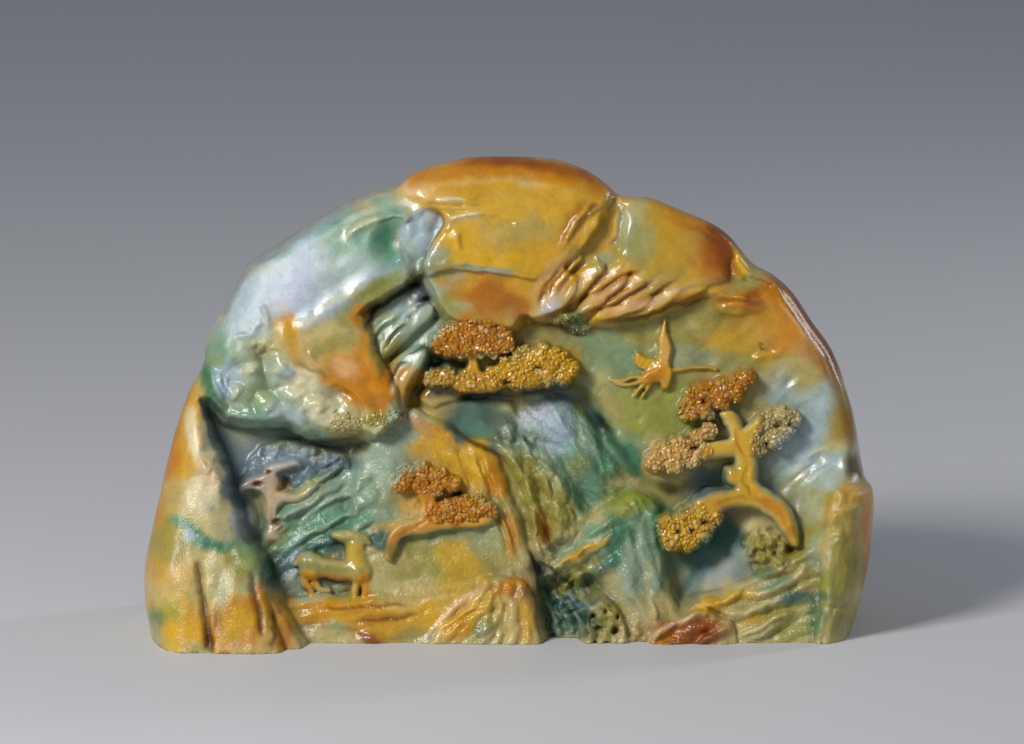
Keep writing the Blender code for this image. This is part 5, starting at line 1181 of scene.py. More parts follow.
def carve_ground():
    ledge = [(-76, 6), (-66, 8), (-50, 8.5), (-38, 11), (-26, 12), (-15, 14), (-8, 12.5), (-14, 2), (-22, -4),
             (-28, -14), (-70, -14), (-76, -4)]
    face.block(ledge, 3.4, edge=3.0, lean=(0.0, 0.12))
    for path in ([(-70, 3), (-55, 3.5), (-40, 5), (-24, 4)], [(-64, -1), (-50, -0.5), (-36, 0.5), (-26, 0)]):
        face.fold(path, 0.5, left=1.2, right=3.6)
    face.chisel([(-72, 6), (-50, 8), (-20, 12), (-14, 2), (-28, -12), (-66, -12)], 3, 1.6, 0.3, 5.0, seed=8)
    face.chip([(-74, 6), (-50, 8), (-20, 12), (-14, 2), (-28, -14), (-70, -14)], 5, 3.0, 0.5, stretch=4.0,
              seed=65)
    face.lump((-43, -4.4), (6, 3), 1.2, -28)
    slab = [(-30, -14), (-24.5, -6), (-21, -1), (-15, 4), (-9, 10.5), (-5, 13), (-2, 2), (-6, -14)]
    face.block(slab, 0.8, edge=2.0)
    slab_edge = [(-27, -7), (-23, -2), (-18, 4.4), (-12.5, 8.6), (-6, 13)]
    face.fold(slab_edge, 0.8, left=1.0, right=2.0)
    face.groove([(-19, 1), (-12, 6), (-6, 8)], 0.7, 1.0)
    face.groove([(-20, -3), (-12, 3), (-6, 5.4)], 0.6, 0.9)
    table = [(-9, 12.6), (-3, 13.6), (4, 12.6), (7.5, 9), (8.5, 2), (8, -14), (-10, -14), (-8.5, 2)]
    face.block(table, 0.5, edge=2.4, lean=(0.0, 0.05))
    face.chip(table, 84, 3.0, 1.0, stretch=2.6, edge=2.0, seed=66)
    face.chip(slab, 46, 2.4, 0.9, stretch=3.0, edge=1.5, seed=67)
    for u in (-1.5, 3.5):
        face.groove([(u, 8), (u + 0.6, 0), (u - 0.4, -8)], 0.9, 1.6)
    face.fold([(13, 12), (17, 4), (21, -4)], 1.5, left=2.5, right=2.0)
    face.fold([(18, 9), (23, 4), (27, 0)], 1.0, left=1.4, right=1.4)
    rock = [(24, 4.5), (26.5, 6), (28.5, 8.2), (31, 7), (33, 5.8), (36, 1.5), (37.5, -5), (37, -14),
            (24, -14), (23.6, -2)]
    face.block(rock, 1.5, edge=2.2)
    face.chip(rock, 60, 2.6, 1.6, stretch=1.2, edge=1.5, seed=62)
    # The holes of the pierced rock are shallow dimples, painted dark as painted shade.
    for place, size in (((28.2, -1.6), (1.6, 1.1)), ((33.2, -2.2), (1.2, 1.8)), ((30.4, 3.6), (0.8, 1.2)),
                        ((26.6, 2.4), (0.9, 0.7)), ((34.2, 2.0), (0.7, 1.0)), ((30.6, -6.4), (1.4, 0.8)),
                        ((27, -6.4), (0.8, 1.2))):
        face.lump(place, size, -3.6)
        face.dab("moss", *place, *size, 0, 0.7)
    for place in ((40.5, -3.4), (43, -5), (38.6, -5.6)):
        face.lump(place, (1.8, 1.5), 1.8)
    russet = [(44, -14), (46.5, -3), (51, 0.5), (56, 3), (60, 4.5), (66, 2), (70.5, 0), (69.5, -14)]
    face.block(russet, 0.2, edge=2.0)
    face.fold([(44, -5), (50.5, -0.5), (56, 2.2), (60, 3.6)], 1.0, left=1.0, right=2.5)
    face.fold([(60, -6), (64.5, -3), (70, -0.6)], 1.2, left=1.0, right=2.5)
    face.chip(russet, 16, 2.6, 1.2, stretch=2.4, edge=1.5, seed=63)
    gold = [(56, 4.5), (61, 7), (68, 9), (76, 13), (84, 18), (92, 22), (98, 26), (99, 8), (98, -14),
            (72, -14), (71.5, -3), (68, 2.5), (62, 4.6)]
    face.block(gold, 2.6, edge=2.0, lean=(0.0, 0.08))
    for path, height in (
        ([(57, 4.5), (63, 5.6), (69, 7.8), (75, 11)], 1.0),
        ([(66, 3), (73, 3.5), (80, 6), (88, 9), (96, 13)], 1.5),
        ([(71, -3.5), (77, -1.4), (83, 1), (90, 4)], 1.6),
        ([(74, -5), (80, -3), (86, -0.5)], 1.0),
        ([(76, 9), (83, 11), (91, 15), (97, 20)], 1.6),
        ([(78, 14.5), (84, 16), (91, 19), (97, 24)], 1.5),
    ):
        face.fold(path, height, left=1.2, right=3.2)
        # A painted highlight in cream along each fold.
        face.streak(path, 0.6, "cream", 0.5, fade=0.4)
    face.chip(gold + [(70, -12)], 14, 2.4, 1.1, stretch=3.6, edge=2.0, seed=64)
    stump = [(76, 22, 1.6), (79, 25, 2.4), (83, 26.4, 2.6), (86.6, 24, 2.2), (85, 20, 2.4), (80, 19, 2.4)]
    face.lump((82, 22), (7, 7.5), 4.0, 20)
    for u, v, radius in stump:
        face.lump((u, v), (radius, radius), 2.2)
    bark = [(74, 28), (90, 30), (90, 16), (76, 16)]
    face.chip(bark, 20, 3.0, 1.6, stretch=1.1, edge=2.0, seed=73)
    face.chip(bark, -40, 1.5, 0.9, stretch=1.2, edge=2.0, seed=74)
    # The holes in the stump are shallow dimples, painted dark as painted shade.
    for place, size in (((80.5, 22.4), (1.6, 0.9)), ((84, 21.6), (0.9, 1.3)), ((78.8, 18.6), (1.2, 0.8))):
        face.lump(place, size, -2.2)
        face.dab("moss", *place, *size, 0, 0.7)


def colour_ground():
    face.scatter(face.matte, [(56, 30), (76, 34), (78, 18), (66, 6), (56, 6)], 0.5, 4.0)
    face.dabs([
        ("mist", -60, 9.4, 9, 2.4, 3, 0.9), ("orange", -52, 5.4, 12, 2.0, 2, 0.6), ("sand", -30, 8, 12, 4,
         4, 0.6), ("olive", -45, 8.4, 14, 1.8, 3, 0.6),
        ("russet", -40, 2, 10, 1.6, 4, 0.5), ("sea", -58, -1.4, 8, 1.8, 0, 0.6), ("rust", -43, -4.4, 6,
         2.2, -28, 0.9),
        ("orange", -62, 1, 5, 3, -40, 0.6), ("olive", -32, -4, 7, 2.4, 0, 0.5), ("mist", -24, -5, 3, 2, 30,
         0.6),
        ("peach", -16, 6, 7, 2.4, 40, 0.7), ("orange", -16, -2, 5, 4, 30, 0.7), ("gold", -20, -4, 4, 4, 0,
         0.6),
        ("orange", 0, 11.4, 7, 2, 0, 0.9), ("russet", 4, 9, 3, 2, 0, 0.5), ("emerald", -6, -1, 5, 6, 0, 0.55),
        ("leaf", -4, 4, 4, 4, 0, 0.4), ("honey", 5, 1, 2.6, 7, 0, 0.8), ("sand", 1, 0, 2, 7, 0, 0.5),
        ("olive", 30, 1, 6, 6, 0, 0.9), ("sand", 27, 4, 3, 2, 0, 0.4), ("sand", 41, -4, 4, 2, 0, 0.6),
        ("russet", 57, -1.6, 10, 3.6, 20, 1.0), ("rust", 64, -4.6, 5, 2.4, 10, 0.8), ("orange", 50, -4, 5,
         2, 30, 0.8),
        ("honey", 63, 5.4, 7, 2, 10, 1.0), ("gold", 72, 7.6, 6, 2, 20, 0.8), ("olive", 84, 3, 10, 4, 14, 0.7),
        ("leaf", 90, -2, 7, 3, 10, 0.5), ("teal", 92, 8, 8, 2.6, 4, 0.8), ("emerald", 96, 1, 2.6, 6, 0, 0.7),
        ("emerald", 80, 16, 4, 1.6, 10, 0.7), ("sea", 84, 13, 6, 1.4, 14, 0.7), ("olive", 90, 19, 6, 3, 14,
         0.6),
        ("olive", 81, 23, 6, 5, 0, 0.8), ("slate", 72, 18, 5, 5, 30, 0.7), ("gold", 76, 1, 5, 1.6, 10, 0.7),
        ("teal", 68, 27, 6, 7, 0, 0.8), ("slate", 66, 14, 5, 6, 0, 0.6), ("teal", 58, 14, 4, 10, -14, 0.8),
        ("mist", 83, 45, 6, 7, 0, 0.6), ("ice", 96, 46, 5, 6, 30, 0.6), ("emerald", 55, 24, 3, 8, -10, 0.6),
    ])
    # The rose lines along the slab's edge and the russet rock's crest are painted highlights.
    face.streak([(-27, -7), (-23, -2), (-18, 4.4), (-12.5, 8.6), (-6, 13)], 1.0, "rose", 0.8)
    face.streak([(44, -5), (50.5, -0.8), (56, 2.0), (60, 3.4)], 0.8, "rose", 0.7)
    for path in ([(-60, 4), (-45, 5.4), (-30, 6.4)], [(-50, 1), (-40, 1.6), (-28, 2.4)]):
        face.streak(path, 0.6, "brown", 0.6)


carve_ground()
colour_ground()
print("ground carved")

# %% [markdown]
# ## The left buttress
#
# A tall buttress stands proud of everything on the left and spreads towards the foot. Orange skin runs
# down its outer edge, a green vein crosses it, and two long grooves are cut into its lower half.

# %% Carve the buttress


def carve_buttress():
    shaft = [(-104, 76), (-99.8, 72.5), (-97, 67), (-94.4, 60.5), (-91, 51.5), (-88, 43), (-85.6, 35),
             (-84, 27.5), (-80.5, 24.5), (-77.8, 20), (-76.6, 12), (-75.4, 3), (-73, -3), (-73, -14),
             (-122, -14), (-122, 30), (-112, 60)]
    lean = BUTTRESS_PROUD / 76
    face.block(shaft, -BUTTRESS_PROUD + lean * 26, edge=5.0, lean=(0.0, lean), wall=6.0)
    toe = [(-80, 12), (-75, 7), (-72, 2.5), (-69.5, -1), (-67, -4.5), (-65, -8), (-65, -14), (-82, -14)]
    face.block(toe, -7.5, edge=2.0, lean=(0.15, 0.1))
    face.groove([(-98, 21), (-97, 12), (-96, 4), (-95, -2), (-93.5, -10)], 1.8, 2.4, fade=0.1)
    face.groove([(-80.6, 18), (-80.2, 9), (-78.6, 2), (-76.5, -5)], 1.4, 2.0)
    face.fold([(-101.5, 66), (-99, 58), (-96, 50), (-92, 43)], 1.2, left=4.0, right=7.0)
    face.fold([(-97, 53), (-92.5, 45), (-90, 36)], 0.8, left=2.5, right=2.5)
    face.lump((-104, 14), (9, 16), 1.2)
    face.lump((-86, 8), (6, 12), 1.2)
    face.scatter(face.matte, shaft, 0.3, 3.0)
    face.chip(shaft, 82, 9.0, 0.6, stretch=2.6, edge=5.0, seed=68)
    face.chisel(shaft, 80, 3.4, 0.3, stretch=3.0, seed=69)
    rough = [(-97, 52), (-93, 53), (-90, 46), (-88.6, 42), (-92, 41), (-95.6, 45)]
    face.chisel(rough, 60, 2.0, 0.9, stretch=1.6, edge=1.2, seed=9)


def colour_buttress():
    face.dabs([
        # The cream dab at (-98.6, 58) is a painted highlight along the ridge.
        ("cream", -98.6, 58, 2.6, 9, 14, 0.8), ("sand", -93, 47, 3, 6, 16, 0.7), ("cream", -97, 42, 5, 6,
         0, 0.6),
        ("olive", -106, 28, 6, 9, 0, 0.8), ("emerald", -98, 29, 10, 2.4, -28, 0.9), ("sea", -95, 26, 7, 3,
         0, 0.7),
        ("emerald", -90, 25, 6, 2.4, 10, 0.8), ("ice", -101, 28, 2, 2.4, 0, 0.8), ("sea", -104, 33, 3, 2.4,
         40, 0.6),
        ("peach", -103, 17, 6, 4, 0, 0.7), ("honey", -110, 16, 4, 8, 0, 0.7), ("sand", -108, 8, 5, 5, 0, 0.6),
        ("emerald", -110, -1, 4, 5, 20, 0.8), ("leaf", -106, 2, 4, 4, 0, 0.6), ("gold", -102, -4, 6, 5, 0,
         0.9),
        ("sand", -112, -4, 3, 4, 0, 0.6), ("sand", -91, 15, 5, 8, 0, 0.8), ("mist", -90, 12, 3, 5, 0, 0.4),
        ("olive", -85, 20, 3.6, 5, 0, 0.7), ("leaf", -81, 21, 3, 4, 0, 0.5), ("orange", -78.6, 6, 3, 9, 6,
         0.8),
        ("gold", -86, -2, 5, 6, 0, 0.8), ("cream", -92, 46, 3.4, 8, 12, 0.7), ("sand", -88.6, 36, 3.4, 6,
         0, 0.8), ("brown", -93.6, -5, 2, 5, 6, 0.8), ("rust", -90.4, 0, 2, 5, 6, 0.5),
        ("olive", -76, 0, 2, 6, 10, 0.4), ("orange", -71, -4, 3, 6, 20, 0.8),
    ])
    face.dab("rose", -93.6, 47, 3, 6, 14, 0.45)
    for line in (
        ([(-98.2, 72.5), (-92.8, 60.5), (-86.4, 43), (-82.6, 29)], 1.6, "slate", 0.8),
        ([(-98, 21), (-97, 12), (-96, 4), (-95, -2), (-93.5, -10)], 1.1, "brown", 0.8),
        ([(-80.6, 18), (-80.2, 9), (-78.6, 2), (-76.5, -5)], 0.9, "brown", 0.7),
        ([(-74.6, 4), (-74, -2), (-74, -8)], 0.8, "brown", 0.7),
    ):
        face.streak(*line)


carve_buttress()
colour_buttress()
print("buttress carved")

# %% [markdown]
# ## Pines, deer and crane
#
# Each pine is a trunk with boughs, and its needles are carved as clouds of small tufts. The trunk is a
# chain of balls of changing size. A cloud is a row of puffs, and each puff is a ring of small balls that
# stand at slightly different heights, so that its top is lumpy. The tufts come later, when there is a
# surface to set them on. The deer and the crane are built of limbs too, which keeps them part of the stone.

# %% Carve the pines


def carve_pines():
    clouds_of_needles = [
        ("orange", 1.6, [(-22, 88.6, 3), (-19, 91, 3.6), (-14, 92, 4), (-8, 92, 4), (-3, 90.4, 3.6), (-0.8,
         88, 2.4),
                         (-9, 87.6, 3.4), (-15, 87, 3.4), (-19, 86.6, 2.4), (-4.6, 86.4, 2.6)]),
        ("gold", 1.8, [(-4, 77.6, 3.2), (0.4, 80.4, 4), (5, 83, 4.2), (10, 83.6, 4.2), (15, 82.8, 4),
         (18.6, 80.4, 3),
                       (2, 76.8, 3.2), (7, 78, 3.8), (13, 78.4, 3.6), (17, 77.4, 2.4)]),
        ("honey", 3.6, [(-24, 77, 2.8), (-20, 77.6, 3.2), (-14, 76, 3.2), (-9, 76, 2.8)]),
        ("orange", 2.2, [(-34, 44.4, 2.8), (-31.6, 47, 2.8), (-27, 47.4, 3.2), (-22, 45.8, 3), (-18, 43.8,
         2.6),
                         (-28, 43.4, 2.6), (-23, 42.4, 2.2)]),
        ("orange", 1.6, [(-23.4, 34.4, 2.8), (-19.6, 35.6, 3), (-14.6, 37, 3.2), (-9.6, 37, 3), (-6, 35.4,
         2.4),
                         (-12, 34, 2.6), (-17, 33, 2.4)]),
        ("orange", 2.4, [(56.6, 67, 3.4), (58.6, 70.6, 3.6), (63, 72, 3.8), (68, 73.6, 3.4), (72.4, 75.6, 3),
                         (75.4, 77.4, 2), (62, 67.2, 3), (67, 69.4, 2.8), (71.4, 71.6, 2)]),
        ("peach", 2.2, [(46.6, 51, 3.2), (49.6, 53.6, 3.6), (54.4, 55, 3.8), (58.6, 58, 3.2), (63, 60.4, 2.4),
                        (52, 50, 2.8), (57.4, 52.2, 3), (61.6, 54.4, 2.4)]),
        ("sand", 4.0, [(78.6, 55.4, 3), (80.6, 59.6, 3.6), (82, 64, 3.4), (86, 65, 3.2), (89.4, 64.2, 2.8),
                       (86.4, 60.4, 3.2), (83.6, 57.4, 2.6)]),
        ("gold", 1.6, [(49, 30.6, 3.4), (51.4, 26.6, 3.4), (55.4, 31.4, 3.8), (56.6, 26.6, 3.4), (60.6,
         29.2, 3.4),
                       (60, 34.4, 3.6), (64.4, 32.8, 2.6)]),
    ]
    for colour, level, puffs in clouds_of_needles:
        face.pad(puffs, level)
        for u, v, radius in puffs:
            face.dab(colour, u, v, 1.1 * radius, radius, 0, 0.9)
    # The gaps between the puffs are dimples painted brown, as painted shade.
    gaps = [(-11, 84.6, 3.4, 0.8), (-1, 76, 2.2, 0.9), (9, 80.6, 1.6, 0.7), (-26, 41.4, 4, 0.7),
            (-16, 40.6, 3, 0.8), (66, 66.6, 2.4, 0.9), (61.6, 69.6, 1.6, 0.7), (56, 58.6, 1.6, 0.7),
            (58.6, 55.2, 2, 0.8), (84.4, 62, 1.6, 0.9), (81, 56.6, 1.0, 0.8), (88, 62, 1.0, 0.8),
            (61.6, 31.8, 1.8, 0.9), (57.6, 29, 1.2, 0.8), (53, 28.6, 1, 0.8)]
    for u, v, across, up in gaps:
        face.lump((u, v), (across, max(up, 0.9)), -2.4)
        face.dab("brown", u, v, across, up, 0, 0.8)
    return len(clouds_of_needles)


def carve_trunks():
    great = [
        (91.2, 25), (90.4, 30.4), (88.6, 35), (84.2, 39.8), (78.8, 42.8), (77.2, 45.6), (77.4, 49), (77.8,
         54.4),
        (77.8, 58.6), (80.4, 62.6), (78.8, 64.2), (75.4, 60.8), (73.8, 60.4), (72.4, 63.4), (69.6, 66.2),
         (67.6, 65.2),
        (70, 62.2), (71, 58), (66, 56), (61.4, 54.2), (61.8, 52), (67, 52.4), (71.2, 53), (72.4, 50.6),
         (72.6, 48.2),
        (69.8, 48), (69.6, 45), (71.8, 43.6), (71, 41.6), (67, 40.8), (63.4, 40.2), (60, 38.6), (59.4, 35.4),
        (62, 33.2), (64.4, 32.2), (67.2, 35.2), (71, 36.8), (76.3, 37.3), (81.3, 36), (85.2, 33), (87.6,
         29.6), (89.8, 25),
    ]
    face.block(great, 2.4, edge=2.3, blend=0.5, lean=(0.03, 0.02), wall=6.0, grow=0.9)
    face.fill(great, "gold", 0.9, soft=2.4, rough=0.4)
    middle = [
        (-28, 41.4), (-26.4, 38.6), (-27.6, 35.4), (-27.4, 33.2), (-31, 31.6), (-35, 30.4), (-37.6, 27),
         (-38.6, 22.6),
        (-37.4, 20.4), (-35.4, 23.4), (-34.4, 26.6), (-30.6, 28.2), (-26, 28.8), (-21, 29.6), (-14, 30.4),
         (-7, 31.6),
        (-6, 33.2), (-13, 33.4), (-20, 33), (-23.6, 33.6), (-23, 37), (-24, 40.6), (-25, 42.6),
    ]
    face.block(middle, 2.4, edge=1.6, blend=0.5, wall=6.0, grow=0.8)
    face.fill(middle, "orange", 0.85, soft=2.4, rough=0.4)
    upper = [
        (-14, 86), (-13.6, 81), (-15.6, 78), (-19, 75.6), (-17, 73.6), (-10, 73), (-3, 73.4), (-1, 76),
         (-6, 78),
        (-9.6, 79.6), (-11, 83), (-10.8, 86),
    ]
    face.block(upper, 4.2, edge=1.8, blend=0.5, wall=6.0)
    face.fill(upper, "honey", 0.85, soft=1.0, rough=0.4)
    for path in ([(89, 29), (86.4, 34.4), (82, 38.4), (76, 40.6), (75, 46), (75.2, 52)],
                 [(88, 28), (84.4, 35), (78, 38.8), (70, 38.8), (64, 37)], [(79, 40.4), (74.4, 43), (74, 49)],
                 [(75, 52), (73, 56), (72, 61)], [(-25, 40), (-25.4, 34), (-30, 30), (-36, 26)],
                 [(-22, 31.4), (-14, 32), (-8, 32.4)], [(-12.4, 85), (-12.2, 80), (-10, 75)]):
        face.groove(path, 0.55, 0.8, colour="orange", strength=0.5)
    face.dabs([("orange", 84, 37, 6, 2, -36, 0.7), ("gold", 75, 47, 2, 5, 0, 0.7), ("russet", 89, 29, 2, 3,
                                                                                    0, 0.5), ("moss", -37,
                                                                                              23, 2, 3, 0,
                                                                                              0.7), ("gold",
                                                                                                     -10,
                                                                                                     32, 4,
                                                                                                     1.4, 0,
                                                                                                     0.7),
               ("orange", 66, 38, 5, 2, 0, 0.5)])
    return 3


print(carve_pines(), "clouds of needles and", carve_trunks(), "trunks and boughs")

# %% Carve the deer and the crane


def carve_deer():
    body = [
        (-67, 18.6), (-66, 21), (-62.6, 22), (-58, 20.9), (-53.4, 20.2), (-50.2, 20.6), (-49.8, 23.2),
         (-50.6, 25.8),
        (-53.4, 26.6), (-56, 27), (-56.2, 28.4), (-53.4, 29.4), (-50, 30), (-47.2, 29.6), (-45, 28.2),
         (-42.8, 26),
        (-43.2, 24.6), (-45.2, 25), (-45.2, 22.4), (-43.8, 19), (-43.2, 15.6), (-44.2, 12.8), (-47.4, 12.4),
        (-51, 13.4), (-56, 13.8), (-60, 13.4), (-62.4, 12.6), (-65.6, 13.4),
    ]
    legs = [
        [(-45.4, 14.4, 4.8, 1.8), (-45.2, 11, 4.8, 1.2), (-45.6, 8.6, 5, 1.0), (-45.8, 7, 5, 1.1)],
        [(-47.6, 13.6, 5.2, 1.5), (-48.4, 11, 5.4, 1.0), (-48.6, 8.4, 5.4, 0.9)],
        [(-64, 15, 4.8, 2.2), (-64.6, 12.4, 4.8, 1.4), (-62.6, 10.4, 4.8, 1.0), (-62.4, 8.6, 5, 0.9),
         (-60.4, 8.2, 5.2, 0.9)],
        [(-62, 14.6, 5.4, 2.0), (-60.6, 11.6, 5.4, 1.2), (-59.2, 10, 5.4, 1.0), (-57, 10, 5.6, 0.9)],
        [(-66, 20.4, 4.8, 0.8), (-67.6, 18, 5.2, 0.7)],
    ]
    face.block(body, 3.6, edge=2.8, blend=0.5, wall=6.0, grow=0.3)
    face.fill(body, "olive", 0.75, soft=1.0, rough=0.3)
    for balls in legs:
        face.stem(balls, "honey", blend=0.5, strength=0.6)
    face.fold([(-62, 14), (-61, 17), (-62.6, 20)], 0.7, left=1.6, right=2.4)
    face.fold([(-46.4, 13.6), (-48, 16), (-48, 19)], 0.7, left=1.8, right=1.8)
    face.groove([(-50.4, 26.6), (-47.8, 26.6), (-46, 25.8)], 0.5, 0.7)
    face.groove([(-47.6, 28.6), (-45.4, 27), (-44, 25.4)], 0.5, 0.6)
    face.lump((-51.2, 28.3), (0.7, 0.6), -0.7)
    face.lump((-64, 19), (3, 2.4), 0.7)
    face.dabs([
        ("sand", -57, 19.4, 7, 1.8, 0, 0.7), ("orange", -55, 14.6, 8, 1.2, 0, 0.6), ("leaf", -60, 21, 4,
         1.4, 0, 0.5), ("sand", -51, 28, 4, 1.4, 0, 0.7),
        ("orange", -45.6, 12, 1.6, 5, 0, 0.8), ("gold", -47.6, 22, 2, 4, 0, 0.6), ("orange", -63.4, 12, 2,
         3.4, 0, 0.7),
        # The mist dab on the rump is a painted highlight.
        ("mist", -63, 20.4, 2, 1.4, 0, 0.5),
    ])
    # Painted shadow in brown under the belly.
    face.streak([(-62, 13.2), (-56, 12.8), (-50, 12.6)], 0.7, "brown", 0.6)


def carve_crane():
    wings = [
        [(46.8, 80), (47.6, 86), (48, 91), (49.4, 96.4), (50.2, 94.8), (51, 91), (51.6, 87), (51.6, 82.6),
         (50.8, 79.6)],
        [(47.6, 80), (46.6, 83.2), (43, 83.6), (39.4, 86.2), (39.4, 83.4), (40, 81.6), (43, 80.2), (44,
         78.6)],
        [(51.4, 79.6), (51, 76), (50, 73.4), (48.4, 73.4), (47.2, 75.4), (44.6, 75), (42, 75.6), (41, 77.2),
         (43.6, 79), (47.6, 80.8)],
    ]
    strokes = [
        [(42.6, 77.2, 6.6, 0.8), (39, 77.6, 6.8, 0.5), (35.6, 76.4, 7, 0.5), (31.6, 76.8, 7.2, 0.35)],
        [(42, 76.2, 6.6, 0.7), (38.6, 75.2, 6.8, 0.5), (35, 75.2, 7, 0.4), (33, 76, 7.2, 0.35)],
        [(43, 75.4, 6.8, 0.6), (41, 73.6, 7, 0.5), (39.6, 71.6, 7.2, 0.4)],
        [(44.6, 75.2, 6.8, 0.6), (43, 72.8, 7, 0.45), (42, 71, 7.2, 0.35)],
        [(50.6, 79, 6.8, 0.7), (56, 80, 7, 0.5), (62, 80.6, 7.2, 0.45), (66, 79.6, 7.4, 0.35)],
    ]
    for ring, level in zip(wings, (6.2, 6.6, 5.8)):
        face.block(ring, level, edge=1.0, blend=0.5, wall=4.0)
        face.fill(ring, "honey", 0.9, soft=1.0, rough=0.4)
    for balls in strokes:
        face.stem(balls, "honey", blend=0.5, strength=0.9)
    for k in range(5):
        face.groove([(47.6, 84 + 2.2 * k), (49.4, 83.6 + 2 * k), (51.8, 81.6 + 2.2 * k)], 0.4, 0.6, fade=0.05)
    for k in range(3):
        face.groove([(45.6 - 2 * k, 83.4 + 0.4 * k), (43.6 - 1.6 * k, 80.6 + 0.6 * k)], 0.4, 0.6, fade=0.05)
    face.dabs([
        ("orange", 46, 78, 4, 2.4, 20, 0.8), ("peach", 50.2, 88, 1.8, 7, 0, 0.7), ("gold", 42, 83, 3, 1.8,
         -30, 0.7),
        ("russet", 46, 76.8, 2.4, 1.4, 0, 0.6), ("sand", 34, 76, 3, 1, 0, 0.5),
    ])
    face.lump((42.8, 73.2), (0.7, 0.6), -1.4)
    face.dab("ink", 42.8, 73.2, 0.6, 0.6, 0, 0.8)


carve_deer()
carve_crane()
print("deer and crane carved")

# %% [markdown]
# ## From the sheet to a block
#
# A sheet of depths is not yet a solid. The front height says how far the face stands towards the eye, and
# it swells from the outline inwards as the quarter of a superellipse, so the rim is round like a pebble. A
# last, very low unevenness is the mark of polishing by hand. The back gets a sheet of its own, with broad
# crags in the same manner and no figures, since nobody sees it behind the mountain.

# %% Heights of the front and the back


def swell(rim, reach):
    """How full the block is, from the rim inwards, as the quarter of a superellipse."""
    turn = 1 - np.clip((rim + RIM_BAND) / (reach + RIM_BAND), 0, 1)
    return (1 - turn**2.3) ** (1 / 2.3)


face.depth += 0.9 * (clouds(face.u, face.v, 11.0, 21, 2) - 0.5) + 0.3 * (clouds(face.u, face.v, 4.0, 22,
                                                                                2) - 0.5)
rim = signed_distance(face.u, face.v, spline(SKYLINE, closed=True, steps=3))
rim_height = face.v * math.tan(SIGHT)
full = FACE_PROUD + 2.0 * (1 - (face.u / (WIDTH / 2)) ** 2)
front_height = rim_height + (full - face.depth - rim_height) * swell(rim, RIM_ROUND)

rear = Sheet(0.8, (-WIDTH / 2 - 6, -4), (WIDTH / 2 + 6, TALL + 6), "honey")
CRESTS = [
    ([(106, 2), (96, 30), (86, 58), (66, 84), (44, 108)], 4.5, 22, 34),
    ([(66, -8), (56, 22), (32, 44), (22, 72), (-2, 96), (-14, 126)], 5.0, 24, 36),
    ([(16, -6), (-4, 22), (-18, 50), (-42, 76), (-58, 106)], 4.6, 22, 34),
    ([(-32, -10), (-52, 22), (-62, 44), (-88, 66)], 4.0, 20, 28),
    ([(-82, -8), (-96, 20), (-106, 40)], 3.4, 18, 20),
    ([(44, 62), (24, 82), (0, 92)], 2.6, 10, 14),
    ([(2, 40), (-20, 60), (-36, 66)], 2.4, 9, 14),
    ([(74, 22), (60, 44), (44, 54)], 2.6, 10, 15),
    ([(-62, 80), (-42, 104), (-30, 124)], 2.8, 14, 10),
    ([(-70, 12), (-78, 34), (-92, 48)], 1.8, 8, 10),
    ([(36, 10), (30, 26), (14, 40)], 2.0, 9, 11),
]
for path, height, left, right in CRESTS:
    rear.fold(path, height, left=left, right=right, fade=0.35)
rear.depth += 1.2 * (clouds(rear.u, rear.v, 14.0, 31, 3) - 0.5)
back_full = BACK_PROUD + (BACK_TOP_PROUD - BACK_PROUD) * np.clip(rear.v / TALL, 0, 1) ** 1.3
back_height = back_full - rear.depth
print("front stands", round(front_height.max(), 1), "mm proud and the back", round(back_height.max(), 1))

# %% [markdown]
# ## The colours of the back
#
# Nobody has shown us the back of this carving, so its colours are a fair guess: the same skin goes round
# the rim, the pale core shows on the left and low in the middle, and green veins cross it.

# %% Colour the back
for colour, x0, z0, across, up, turn, strength in [
    ("ice", -66, 100, 34, 24, 36, 0.9), ("mist", -50, 66, 30, 20, 10, 0.9), ("sea", -20, 44, 30, 12, 30, 0.7),
    ("russet", 0, 144, 40, 8, 0, 0.9), ("orange", 20, 122, 24, 12, 0, 0.8), ("olive", 50, 104, 20, 14, -20,
     0.8),
    ("russet", 92, 96, 12, 26, 36, 0.9), ("honey", 76, 70, 16, 14, 0, 0.7), ("mist", 60, 40, 26, 16, 20, 0.8),
    ("lavender", 20, 70, 18, 10, -20, 0.6), ("emerald", 34, 52, 16, 3, 30, 0.7), ("emerald", -74, 52, 5,
     16, 10, 0.7),
    ("teal", 0, 20, 20, 7, 14, 0.6), ("orange", -104, 44, 8, 30, -12, 0.9), ("gold", -84, 10, 22, 12, 0, 0.8),
    ("sand", -40, 8, 22, 8, 0, 0.7), ("russet", 60, 6, 22, 6, 6, 0.7), ("olive", 100, 22, 12, 20, 0, 0.8),
    ("orange", 108, 30, 6, 24, 0, 0.6), ("ice", -20, 96, 16, 8, -30, 0.5), ("spruce", -30, 28, 8, 3, 30, 0.5),
]:
    rear.dab(colour, x0, z0, across, up, turn, strength)
print("back coloured")

# %% [markdown]
# ## One closed skin
#
# The front, the back and the rim are three rules for where the stone ends. A volume can hold them all: each
# cell of a fine grid gets its distance to the nearest skin, negative inside, and the surface where the
# distance is zero is one closed mesh, however the three meet. Undercuts and steep walls then get even
# faces, which pulling a flat grid into shape can't give.

# %% Fill a volume and take its skin


def column(table, sheet, v):
    """Reads a sheet's table at each x of the grid and the given v."""
    rows = np.clip((grid_x - sheet.us[0]) / sheet.cell, 0, len(sheet.us) - 2)
    i, s = rows.astype(int), (rows % 1)[:, None]
    low = (table[i] * (1 - s) + table[i + 1] * s).astype(np.float32)
    place = np.clip((v - sheet.vs[0]) / sheet.cell, 0, len(sheet.vs) - 2)
    j, t = place.astype(int), (place % 1).astype(np.float32)
    return low[:, j] * (1 - t) + low[:, j + 1] * t


def steepness(height, cell):
    """What turns a difference of height into a distance square to the slope."""
    return 1 / np.sqrt(1 + sum(g**2 for g in np.gradient(height, cell)))


